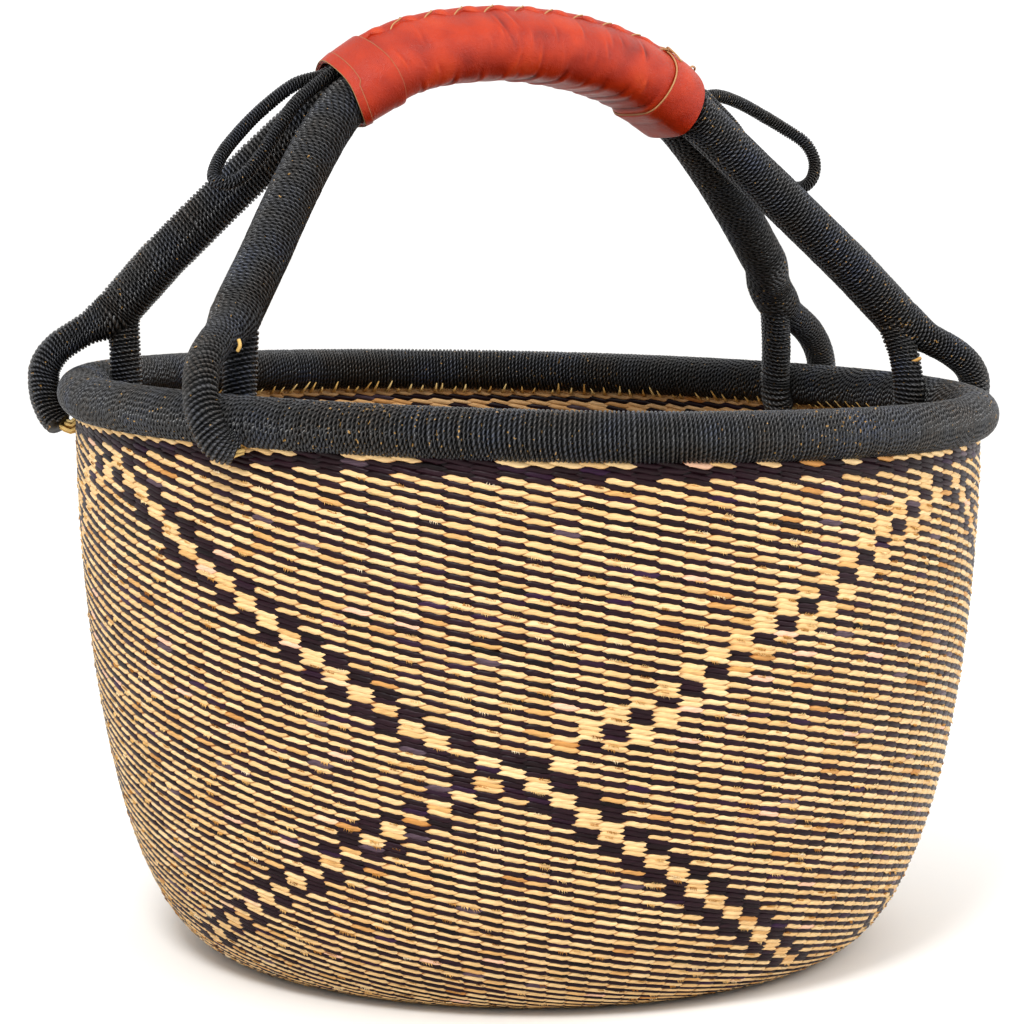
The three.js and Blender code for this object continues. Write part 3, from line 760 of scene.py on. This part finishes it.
def windCord(track, radius, look, closed=False):
    # turns of cord side by side as one surface: the ring number grows by one turn for each time round, so
    # the turns are one helix; across a turn the height is the half circle of the cord; lean pulls the
    # turns askew by a sine of the angle; wander sets each turn a little off its place, as a hand does
    steps, around = look["steps"], look["around"]
    margin = abs(look["lean"])
    turns = int(track["length"] / look["pitch"])
    pitch = track["length"] / turns
    count = turns * steps if closed else int((turns - 1 - 2 * margin) * steps) + 1
    ring = np.arange(count)[:, None] / steps
    share = np.arange(around + 1)[None, :] / around
    lean = look["lean"] * np.sin(2 * math.pi * (share - look["leanAt"]))
    coil = ring + share
    wander = chance.normal(0, look["wander"], turns + 3)
    wander[-3:] = wander[:3]
    number = np.floor(coil).astype(int) % turns
    uneven = wander[number] * (1 - (coil % 1)) + wander[(number + 1) % turns] * (coil % 1)
    place = (coil + lean + uneven + (0 if closed else margin)) * pitch
    place = place % track["length"] if closed else np.clip(place, 0, track["length"])
    rise = look["cord"] * (np.sqrt(np.clip(1 - (2 * np.abs(ring % 1 - 0.5)) ** 2, 0.0, 1)) - 1)
    size = radius(place / track["length"]) if callable(radius) else radius + 0 * place
    turn = 2 * math.pi * share + 0 * place
    grid = tubePoints(track, place, turn, size + rise + 0.5 * uneven * look["cord"])
    row, column = gridNumbers(np.arange(count if closed else count - 1), np.arange(around))

    def corner(r, c):
        r = r % count if closed else r
        past = r + steps
        wrapped = (past % count) * around if closed else np.where(past < count, past * around,
                                                                   count * around + past - count)
        return np.where(c < around, r * around + c, wrapped)

    rows = [row, row, row + 1, row + 1]
    columns = [column, column + 1, column + 1, column]
    faces = np.stack([corner(r, c) for r, c in zip(rows, columns)], 1).tolist()
    points = grid[:, :around].reshape(-1, 3)
    size = float(np.mean(size))
    lap = row // steps    # the unwrapping stays a little inside each turn, so that its number can be read
    uv = np.stack([np.stack([(lap + c / around) * 2 * math.pi * size for c in columns], 1),
                   np.stack([(r - lap * steps) / steps * 0.998 + 0.001 + lap for r in rows], 1)],
                  -1).reshape(-1, 2)
    if not closed:
        points = np.vstack([points, grid[count - steps:, around]])
        start = list(range(around)) + [steps * around - k * around for k in range(steps)]
        end = [(count - 1) * around + k for k in range(around)]
        end += [count * around + steps - 1 - k for k in range(steps)]
        faces += [start[::-1], end]
        uv = np.vstack([uv, np.zeros((len(start) + len(end), 2))])
    return points, faces, uv


def addWinding(name, node, track, radius, look, body="root", closed=False):
    points, faces, uv = windCord(track, radius, look, closed)
    return addPiece(name, points, faces, [windingCord], node, "dark_cord", body, uv)


def circleTrack(radius, height, count=1440):
    # a level ring; the first vector points away from its middle
    angle = np.linspace(0, 2 * math.pi, count + 1)
    centre = np.stack([radius * np.cos(angle), radius * np.sin(angle), height + 0 * angle], 1)
    centre[:, 2] += rimTilt(centre[:, 0], centre[:, 1])
    out = np.stack([np.cos(angle), np.sin(angle), 0 * angle], 1)
    along = np.stack([-np.sin(angle), np.cos(angle), 0 * angle], 1)
    return {"length": 2 * math.pi * radius, "at": angle * radius, "centre": centre, "along": along,
            "first": out, "second": np.cross(along, out)}


rimTrack = circleTrack(rim["middle"], rim["height"])
addWinding("rim_cord_winding", ["rim_winding", "rim_hoop"], rimTrack, rim["radius"], rimLook, closed=True)
print("rim ready")


# Handle paths, as the frame has them

grip = {
    "spacing": 21.0,
    "topHeight": 383.5,
    "left": {"along": -86.0, "height": 364.0, "slope": 27.0, "legSlope": 25.0, "legStart": 21.0},
    "right": {"along": 77.0, "height": 358.0, "slope": 32.0, "legSlope": 40.0, "legStart": 36.0},
    "lift": [              # share of the grip's line, millimetres
        (0, 0.8), (0.05, 2.0), (0.09, 2.9), (0.16, 3.6), (0.23, 3.1), (0.32, 2.3), (0.43, 1.7), (0.55, 1.4),
        (0.67, 1.8), (0.76, 2.2), (0.84, 2.1), (0.93, 1.2), (1.0, 0.4)],
}

feet = {      # the branches' middles: out from the rim's middle, up from it, degrees round from the foot
    "front_left": {
        "angle": 204.8, "side": -1, "end": "left", "cut": 38, "sway": (1.6, -0.8, 0.0),
        "outer": [(-22.4, 45, -2.9), (-15.6, 39, -2.0), (-8.6, 35, -1.2), (2.1, 30, 0), (12.5, 23.5, 1.1),
                  (18.4, 15.6, 2.0), (20.3, 6, 2.6), (18.2, -1.2, 3.0), (15.8, -5.8, 3.2), (12, -8.6, 3.4),
                  (7.4, -9.8, 3.6), (3, -9.8, 3.8)],
        "inner": [(-20.6, 44, -2.9), (-20.4, 34, -2.6), (-19.2, 24, -2.4), (-17.4, 8, -2.1),
                  (-17.4, -4, -2.2), (-13, -11.8, -2.2)],
        "stalks": [(-2.8, 31, -2.0, 26.4, 2.5)],
    },
    "front_right": {
        "angle": -10.8, "side": -1, "end": "right", "cut": 36, "sway": (0.9, -0.4, -0.2),
        "outer": [(-22.5, 42.5, 1.5), (-15.5, 35, 1.0), (-5, 28.6, 0.5), (7.6, 22, 0.2), (15.5, 15.5, 0),
                  (19, 8.5, 0), (18.6, 1, 0), (16.6, -6, 0), (12.8, -12, 0)],
        "inner": [(-22, 40, 1.4), (-19, 30, 0.4), (-16.8, 21, -0.7), (-16.4, 8, -2.3), (-16.8, -4, -2.8),
                  (-13, -11.8, -2.8)],
        "stalks": [(-17, 17.6, -11.5, 19.6, -3.2)],
    },
    "back_left": {
        "angle": 151.9, "side": 1, "end": "left", "cut": 36, "sway": (1.3, -0.7, 0.0),
        "outer": [(-19, 38.5, 2.0), (-13.2, 32.2, 1.4), (-5.4, 27.8, 0.8), (4, 22.6, 0.3), (12.7, 16.5, 0),
                  (17.8, 9, 0), (18.6, 1.1, 0), (17.2, -6.5, 0), (14.4, -12.3, 0), (11, -15.6, 0),
                  (6.6, -18, 0)],
        "inner": [(-18, 38, 1.8), (-17.4, 28, 1.2), (-17.5, 15, 0.6), (-17.6, 2, 0), (-16.8, -6, 0),
                  (-12.6, -12.2, 0)],
        "stalks": [(-2.8, 30.4, -9, 26, 2.5), (-3.8, 29, -9.4, 24.6, 2.4)],
    },
    "back_right": {
        "angle": 20.2, "side": 1, "end": "right", "cut": 36, "sway": (-1.1, 0.55, 0.0),
        "outer": [(-31.5, 49.5, -2.2), (-24.5, 42, -1.8), (-14.5, 36, -1.3), (-3.2, 30.6, -0.8),
                  (6.9, 24.8, -0.4), (15.1, 16.8, -0.1), (18.8, 8, 0), (18, -1, 0), (16.2, -7.3, 0),
                  (12.8, -12, 0)],
        "inner": [(-27.9, 46, -2.3), (-24.3, 34, -1.6), (-19.9, 18, -0.7), (-17.8, 4, 0), (-16.8, -6, 0),
                  (-12.6, -12.2, 0)],
        "stalks": [(-10, 27, -5, 23, 2.3)],
    },
}

legSize = {
    "trunk": 10.2,         # radius over the cord
    "branch": 7.0,
    "inside": 24.0,        # how far the trunk's winding goes on inside the leather
    "inset": 11.0,         # the fork, in from the rim's middle
    "rise": 30.0,          # and up from it
    "sweep": 9.0,          # sideways and downward lead of the leg into its fork
    "drop": 5.0,
    "ease": 17.0,          # length over which trunk becomes branch
    "closing": 4.5,        # length over which the last turns draw in
    "bare": 3.0,           # what the winding leaves free before its line's end
}
stalks = {"count": 11, "bundle": 2.9, "hookSize": 0.75, "forkSize": 0.8,
          "under": [(2, -14.2), (-6, -13.8)]}    # where they pass under the rim: out and up from its middle
legLook = {"pitch": 1.85, "cord": 1.15, "steps": 4, "around": 26, "lean": 1.6, "leanAt": 0.3, **hand}
branchLook = {"pitch": 1.85, "cord": 1.0, "steps": 4, "around": 20, "lean": 0.8, "leanAt": 0.2, **hand}


def level(angle):
    return np.array([math.cos(angle), math.sin(angle), 0])


def down(end, slope):
    # outwards from the grip's end and down by the slope
    outward = -1 if end == "left" else 1
    return np.array([outward * math.cos(math.radians(slope)), 0, -math.sin(math.radians(slope))])


def gripEnd(end, side):
    return np.array([grip[end]["along"], side * grip["spacing"] / 2, grip[end]["height"]])


def gripLine(side, count=400):
    # the frame's line, lifted where the leather and what it covers stand a little higher in the middle
    left, right = gripEnd("left", side), gripEnd("right", side)
    leftPull, rightPull = -down("left", grip["left"]["slope"]), -down("right", grip["right"]["slope"])
    pull = (8 * grip["topHeight"] - 4 * (left[2] + right[2])) / (3 * (leftPull[2] + rightPull[2]))
    line = bezier([left, left + pull * leftPull, right + pull * rightPull, right], count)
    line[:, 2] += np.interp(np.linspace(0, 1, count), *zip(*grip["lift"]))
    return line


def atFoot(foot, out, up, turn=0.0):
    # a place by a foot, on the rim as it hangs
    angle = math.radians(foot["angle"] + turn)
    across, away = rim["middle"] * math.cos(angle), rim["middle"] * math.sin(angle)
    share = 1 + out / rim["middle"]
    return np.array([across * share, away * share, rim["height"] + up + rimTilt(across, away)])


def legLine(foot):
    # the frame's own leg, from inside the grip to where the fork's bundles begin to part
    start = gripEnd(foot["end"], foot["side"])
    fork = atFoot(foot, -legSize["inset"], legSize["rise"])
    turnSide = foot["side"] if foot["end"] == "left" else -foot["side"]
    lead = fork + legSize["sweep"] * level(math.radians(foot["angle"] + 90 * turnSide))
    lead[2] += legSize["drop"]
    ends = grip[foot["end"]]
    leave = start + ends["legStart"] * down(foot["end"], ends["legSlope"])
    leg = bezier([start, leave, lead, fork], 60)
    leg = leg + np.sin(np.linspace(0, math.pi, 60))[:, None] ** 2 * np.array(foot["sway"])
    inside = gripLine(foot["side"])
    if foot["end"] == "left":
        inside = inside[::-1]
    away = np.linalg.norm(inside - start, axis=1)
    inside = inside[away < legSize["inside"]]
    near = np.linalg.norm(leg - fork, axis=1)
    return np.vstack([inside[:-1:4], leg[near > foot["cut"]][::3]])


def makeStalks(name, lines, size, node):
    # bare grass stalks, each a round bar along its own line
    bars = [roundBar(line, lambda share: size + 0 * share, 6, 14) for line in lines]
    points, faces, uv = joinParts(bars)
    tint = chance.uniform(0, 1, len(bars)).repeat(len(points) // len(bars))
    addPiece(name, points, faces, [coreStraw], node, "grass_bundle", uv=uv, values=tinted(points, tint))


def makeLeg(name, foot):
    # the trunk runs on into the outer branch, and the inner branch starts inside it; bare stalks run from one
    # branch's end to the other's under the rim, spread evenly over a round bundle, and show at the fork
    outer = [atFoot(foot, *place) for place in foot["outer"]]
    inner = [atFoot(foot, *place) for place in foot["inner"]]
    aside = level(math.radians(foot["angle"] + 90))
    track = makeTrack(smoothPath(np.vstack([legLine(foot), outer]), 8), aside)
    splitAt = 1 - np.linalg.norm(np.diff(smoothPath(outer[1:]), axis=0), axis=1).sum() / track["length"]

    def radius(share):
        # trunk size, easing to the branch's where the fork opens; the last turns draw in like a ball's end
        ease = np.clip((share - splitAt) * track["length"] / legSize["ease"], 0, 1)
        drawn = np.clip(1 - ((1 - share) * track["length"] - legSize["bare"]) / legSize["closing"], 0, 1)
        size = legSize["trunk"] + (legSize["branch"] - legSize["trunk"]) * ease * ease * (3 - 2 * ease)
        return size * np.sqrt(1 - 0.8 * drawn ** 2)

    winding = f"{name}_leg_winding"
    addWinding(f"{name}_leg_cord", winding, track, radius, legLook)
    branch = makeTrack(smoothPath(inner), aside)
    addWinding(f"{name}_inner_branch_cord", winding, branch, legSize["branch"], branchLook)

    arch = "front" if foot["side"] < 0 else "back"
    middle = (foot["outer"][-1][2] + foot["inner"][-1][2]) / 2
    under = [*outer[-2:], *(atFoot(foot, out, up, middle) for out, up in stalks["under"]), *inner[:-3:-1]]
    core = makeTrack(smoothPath(under), aside)
    lines = []
    for number in range(stalks["count"]):
        out = stalks["bundle"] * math.sqrt((number + 0.5) / stalks["count"])
        twist = 2.4 * number + 0.5 * core["at"] / core["length"]
        lines.append(makeTrack(tubePoints(core, core["at"], twist, out), aside))
    makeStalks(f"{name}_hook_stalks", lines, stalks["hookSize"], f"{arch}_arch_bundle")
    lines = []
    for out, up, toOut, toUp, turn in foot["stalks"]:
        bend = atFoot(foot, (out + toOut) / 2, (up + toUp) / 2, turn)
        line = [atFoot(foot, out, up, turn * 0.88), bend, atFoot(foot, toOut, toUp, turn * 0.88)]
        lines.append(makeTrack(smoothPath(line), aside, 0.5))
    makeStalks(f"{name}_fork_stalks", lines, stalks["forkSize"], f"{arch}_arch_bundle")


for name, foot in feet.items():
    makeLeg(name, foot)
print("legs ready")


# Finger loops: their points are the frame's own, from the back strand to the front one

loops = {
    "thickness": 6.5,
    "wound": 5.9,          # the cord itself a little thinner
    "spacing": 7.0,
    "root": 4.5,
    "inside": 14.0,
    "left": [(-11, 6, -3.4), (-23.9, 8, -13.0), (-34.5, 8.2, -22.8), (-44.2, 6, -33.2), (-49.3, 1, -42),
             (-46, -5, -44.5), (-39.5, -8.2, -41), (-32, -8.6, -32.5), (-24, -7.4, -22), (-15, -5.6, -11)],
    "right": [(11, 6, 1.5), (24, 8, -1.5), (37.5, 8.4, -7.5), (48.5, 7, -13.5), (56.5, 3.5, -19.5),
              (60.3, 1.5, -27.5), (58, 0, -35.5), (51.5, 0, -39.5), (41, 0, -37), (27, -1, -26),
              (14, -3, -12)],
}
loopLook = {"pitch": 1.3, "cord": 0.7, "steps": 4, "around": 16, "lean": 0.5, "leanAt": 0.0, **hand}


def strandRise():
    # height of the loop cord's strands, which lie in the groove between the two arches
    reach = legSize["trunk"] + loops["thickness"] / 2 + 0.3
    return math.sqrt(reach ** 2 - (grip["spacing"] / 2 - loops["spacing"] / 2) ** 2)


def makeFingerLoop(end):
    outward = down(end, grip[end]["slope"])
    up = np.array([-abs(outward[2]) * (-1 if outward[0] > 0 else 1), 0, abs(outward[0])])
    mouth = gripEnd(end, 0) + strandRise() * up
    hinge = mouth + loops["root"] * outward
    aside = np.array([0, loops["spacing"] / 2, 0])
    back = [mouth - outward * loops["inside"] + aside, mouth + aside, hinge + aside]
    front = [point - 2 * aside for point in back[::-1]]
    points = [*back, *(hinge + np.array(point) for point in loops[end]), *front]
    track = makeTrack(smoothPath(points, 12), (0, 1, 0), 0.6)
    piece = addWinding(f"{end}_finger_loop_cord", f"{end}_finger_loop", track, loops["wound"] / 2, loopLook,
                       body=None)
    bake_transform(piece)


for end in ("left", "right"):
    makeFingerLoop(end)
print("finger loops ready")


# Leather grip

cover = {
    "growth": 3.0,         # from the arches' cord to the face of the sleeve
    "thickness": 1.2,
    "radius": 18.0,        # of the grip, for the unwrapping
    "cuffGrowth": 4.3,
    "mouthGrowth": 2.7,
    "leftCuff": 16.0,      # from the frame's end of the grip to the cuff's inner edge
    "leftMouth": 6.2,      # how far the mouth comes out at the front
    "hem": 4.4,
    "rightCuff": (22.0, 0.5),    # its inner edge at the top, and how much further in below
    "rightMouth": (1.9, 6.0),    # its mouth below, and how much further in at the top
    "stitch": 13.2,
    "firstStitch": 25.0,
    "slant": 0.56,         # length of a stitch along the grip over the distance between stitches
    "flap": (2.3, 3.9),    # the flap's narrowest reach to the front, and what it gains
    "flapBack": 2.6,       # and its reach to the back
    "lean": 98.0,          # degrees round from the back to the flap's middle line
}


def bundleOutline(turn, grow):
    # taut outline round the two arches and the two strands: in each direction the circle that reaches
    # furthest, with a soft change from one to the next
    rise = strandRise()
    circles = [(-grip["spacing"] / 2, 0, legSize["trunk"]), (grip["spacing"] / 2, 0, legSize["trunk"]),
               (-loops["spacing"] / 2, rise, loops["thickness"] / 2),
               (loops["spacing"] / 2, rise, loops["thickness"] / 2)]
    reach = np.stack([x * np.cos(turn) + y * np.sin(turn) + r for x, y, r in circles], -1)
    weight = np.exp(0.4 * (reach - reach.max(-1, keepdims=True)))
    weight = weight / weight.sum(-1, keepdims=True)
    across = (weight * np.array([x for x, y, r in circles])).sum(-1)
    up = (weight * np.array([y for x, y, r in circles])).sum(-1)
    size = (weight * np.array([r for x, y, r in circles])).sum(-1) + grow
    return across + size * np.cos(turn), up + size * np.sin(turn)


gripTrack = makeTrack(gripLine(0), (0, 1, 0))
gripLength = gripTrack["length"]


def onGrip(place, across, up):
    # off the grip's line, and straight on beyond its ends
    inside = np.clip(place, 0, gripLength)
    past = (place - inside)[..., None] * onTrack(gripTrack, inside, "along")
    return offTrack(gripTrack, inside, across, up) + past


def onLeather(place, turn, grow):
    across, up = bundleOutline(turn, grow)
    return onGrip(place, across, up)


pleats = np.stack([chance.uniform(-4, 4, 15), chance.uniform(-3, 3, 15), chance.uniform(0.1, 0.8, 15)], 1)
creases = np.stack([chance.uniform(20, 150, 26), chance.uniform(2.2, 3.6, 26), chance.uniform(0.12, 0.4, 26),
                    chance.uniform(-3, 3, 26), chance.uniform(0.12, 0.36, 26)], 1)
waves = chance.uniform(0, 2 * math.pi, 6)


def leatherRelief(place, turn):
    # slow waves, short creases across the front and deep pleats on the underside, each a narrow bell curve
    under = np.clip(-np.sin(turn), 0, 1) ** 3
    relief = (0.20 * np.sin(place / 4.3 + 2 * turn + waves[0]) * np.sin(place / 11 - turn + waves[1])
              + 0.22 * np.sin(place / 8.2 - turn + waves[2]) * np.sin(turn * 2 + waves[3])
              + 0.10 * np.sin(place / 1.9 + turn + waves[4]) * np.sin(place / 17 + 3 * turn + waves[5]))
    for at, middle, reach, slant, tall in creases:
        away = place - at - slant * (turn - middle)
        fade = tall * np.exp(-((turn - middle) / reach) ** 2)
        relief = relief + fade * (np.exp(-(away / 0.7) ** 2) - 0.8 * np.exp(-((away - 1.5) / 1.1) ** 2))
    for number, (shift, slant, deep) in enumerate(pleats):
        away = place - 14 - number * (gripLength - 28) / 14 - shift - slant * np.sin(turn + math.pi / 2)
        relief = relief - deep * np.exp(-(away / 1.1) ** 2) * under
        relief = relief + 0.6 * deep * np.exp(-((away - 2.2) / 1.6) ** 2) * under
    return relief


def leatherTube(name, node, start, end, grow, steps, relief, around=150, thickness=cover["thickness"]):
    # a sleeve as a closed shell: start and end are places along the grip for each angle, grow is the height
    # over the cord for each share of the way; the outline on its outside, and back along its lining
    share = np.linspace(0, 1, steps)[:, None]
    turn = np.linspace(0, 2 * math.pi, around, endpoint=False)[None, :] + 0 * share
    place = start(turn) + share * (end(turn) - start(turn))
    bulge = relief * leatherRelief(place, turn)
    outer = onLeather(place, turn, grow(share) + bulge)
    inner = onLeather(place, turn, grow(share) + bulge - thickness)[::-1]
    points = np.concatenate([outer, inner]).reshape(-1, 3)
    faces = gridFaces(2 * steps, around, closeRows=True, closeColumns=True)
    across = cover["radius"] * turn
    uv = np.stack([np.vstack([place, place[::-1]]), np.vstack([across, across])], -1).reshape(-1, 2)
    # the relief also sets the colour: lighter on bulges and darker in creases and pleats, as wear with
    # painted highlight and painted shade
    bulges = np.concatenate([bulge, bulge[::-1]]).ravel()
    addPiece(name, points, faces.tolist(), [sleeveLeather], node, "sleeve_leather", uv=uv,
             values={"bulge": bulges})


def leftMouth(turn):
    # further out at the front, by the square of how far the angle has come round to it
    return -cover["leftMouth"] * (0.5 - 0.5 * np.cos(turn - 0.45)) ** 2


def leftHem(turn):
    # the hem's inner edge, with a small notch halfway down the front
    return leftMouth(turn) + cover["hem"] - 0.7 * (1 + np.tanh((turn - 2.75) / 0.03))


def leftEdge(turn):
    return cover["leftCuff"] + 0 * turn


def rightEdge(turn):
    top, more = cover["rightCuff"]
    return gripLength - top - more * (0.5 - 0.5 * np.sin(turn))


def rightMouth(turn):
    below, more = cover["rightMouth"]
    return gripLength - below - more * (0.5 + 0.5 * np.sin(turn))


def makeLeather():
    covered = ["leather_sleeve", "grip_binding", "front_loop_strand", "back_loop_strand"]
    mouth, rise = cover["mouthGrowth"], cover["cuffGrowth"] - cover["mouthGrowth"]
    leatherTube("leather_sleeve_skin", covered, lambda turn: 1 + 0 * turn,
                lambda turn: gripLength - 6 + 0 * turn, lambda share: cover["growth"] + 0 * share,
                steps=330, relief=1.0)
    leatherTube("left_cuff_skin", "left_leather_cuff", leftMouth, leftEdge,
                lambda share: mouth + rise * share ** 0.5, steps=44, relief=0.4)
    leatherTube("left_cuff_hem", "left_leather_cuff", lambda turn: leftMouth(turn) - 0.3, leftHem,
                lambda share: mouth + 0.6 + 0.55 * share, steps=14, relief=0.2, around=300, thickness=0.9)
    leatherTube("right_cuff_skin", "right_leather_cuff", rightEdge, rightMouth,
                lambda share: cover["cuffGrowth"] - 0.7 * share ** 3, steps=60, relief=0.9)


def flapShare(place):
    # how far the flap's front edge has come down: along a stitch it runs up, then it widens to the next
    share = ((place - cover["firstStitch"]) / cover["stitch"]) % 1
    slant = cover["slant"]
    past = np.clip((share - slant) / (1 - slant), 0, 1)
    return np.where(share < slant, 1 - share / slant, past ** 0.8), np.sin(math.pi * past)


def onFlap(place, aside, out):
    # aside goes to the front along the sleeve's top, which curves away by aside^2 / 18
    lean = math.radians(cover["lean"])
    across, up = bundleOutline(np.array(lean), cover["growth"])
    out = out - aside ** 2 / 18
    return onGrip(place, across - aside * math.sin(lean) + out * math.cos(lean),
                  up + aside * math.cos(lean) + out * math.sin(lean))


def makeFlap():
    # the sleeve's lapped edge along the top, in one petal from each stitch to the next
    rows, across = 520, 9
    place = np.linspace(cover["leftCuff"] - 1, gripLength - cover["rightCuff"][0] + 1, rows)[:, None]
    down, swell = flapShare(place)
    narrow, gain = cover["flap"]
    share = np.linspace(0, 1, across)[None, :]
    aside = -cover["flapBack"] + (narrow + gain * down + cover["flapBack"]) * share
    out = 0.25 + (0.7 + 0.5 * swell) * np.sin(math.pi * (0.1 + 0.72 * share)) + 0.25 * share
    outer = onFlap(place + 0 * share, aside, out)
    inner = onFlap(place + 0 * share, aside, -0.7 + 0 * out)[:, ::-1]
    points = np.concatenate([outer, inner], 1).reshape(-1, 3)
    around = 2 * across
    faces = gridFaces(rows, around, closeColumns=True).tolist()
    faces += [list(range(around))[::-1], list(range((rows - 1) * around, rows * around))]
    uv = np.stack([place + 0 * aside, aside * 3], -1)
    uv = np.concatenate([uv, uv[:, ::-1]], 1).reshape(-1, 2)
    # the petals' swell, which the leather colour turns lighter: wear with painted highlight
    bulges = np.concatenate([0.5 * swell + 0 * aside, 0.5 * swell + 0 * aside], 1)
    addPiece("leather_flap", points, faces, [sleeveLeather], None, "sleeve_leather", uv=uv,
             values={"bulge": bulges.ravel()})


def threadBar(points, size=0.36):
    track = makeTrack(smoothPath(points, 6), (0.3, 1, 0.2), 0.5)
    return roundBar(track, lambda share: size + 0 * share, 7, int(track["length"] / 0.9) + 2)


def makeSeamThread():
    # whipped over the flap: up along each petal's slanted end, over the top, and inside to the next one, as
    # lengths along, aside and out; then a ring round the right cuff's inner edge, and a knot and one stitch
    # in its fold, as length along, angle and height over the sleeve
    narrow, gain = cover["flap"]
    low = narrow + gain
    around = [(-0.5, low + 0.1, -1.6), (0.1, low + 0.3, 0.0), (3.6, 0.62 * low, 1.0),
              (6.8, 0.75 * narrow, 1.3), (8.0, -1.0, 1.2), (8.8, -2.6, 0.6), (9.3, -3.1, -0.9),
              (10.6, -1.0, -2.2), (12.2, 2.4, -2.0)]
    count = int((gripLength - cover["rightCuff"][0] - cover["firstStitch"] + 3) / cover["stitch"]) + 1
    points = [onFlap(np.array(cover["firstStitch"] + number * cover["stitch"] + along), np.array(aside),
                     np.array(out)) for number in range(count) for along, aside, out in around]
    bars = [threadBar(points)]
    turn = np.linspace(0, 2 * math.pi, 90)
    bars.append(threadBar(onLeather(rightEdge(turn) - 0.3, turn, cover["growth"] + 0.7 + 0 * turn), 0.42))
    knot = [(-3.5, 1.55, 0.9), (-1.5, 1.70, 1.5), (0.8, 1.95, 1.9), (2.4, 1.80, 2.1), (1.0, 1.62, 2.2),
            (-0.8, 1.82, 2.5), (0.6, 2.12, 2.2), (2.6, 2.22, 1.7), (4.2, 2.10, 1.2)]
    foldStitch = [(8.6, 2.16, 0.2), (9.0, 2.12, 1.6), (11.5, 1.96, 1.9), (14.0, 1.82, 1.7), (14.5, 1.78, 0.2)]
    for places, size in ((knot, 0.42), (foldStitch, 0.5)):
        along, spin, grow = np.array(places).T
        edge = gripLength - cover["rightCuff"][0]
        bars.append(threadBar(onLeather(edge + along, spin, cover["growth"] + grow), size))
    points, faces, uv = joinParts(bars)
    addPiece("seam_thread", points, faces, [threadStraw], "seam_lace", "lace_thread", uv=uv,
             values=tinted(points))


def makeCutEdges():
    # the pale raw edge of the leather, seen as a fine line along the mouth, the hem and the left cuff
    turn = np.linspace(0, 2 * math.pi, 240)
    rows = [(leftMouth(turn) - 0.35, cover["mouthGrowth"] + 0.35, 0.22),
            (leftHem(turn) + 0.1, cover["mouthGrowth"] + 1.0, 0.18),
            (leftEdge(turn) + 0.1, cover["cuffGrowth"] - 0.35, 0.2)]
    bars = [threadBar(onLeather(place, turn, grow + 0 * turn), size) for place, grow, size in rows]
    points, faces, uv = joinParts(bars)
    addPiece("leather_cut_edges", points, faces, [cutLeather], None, "sleeve_leather", uv=uv,
             values=tinted(points))


makeLeather()
makeFlap()
makeSeamThread()
makeCutEdges()
print("leather ready")


print("done")
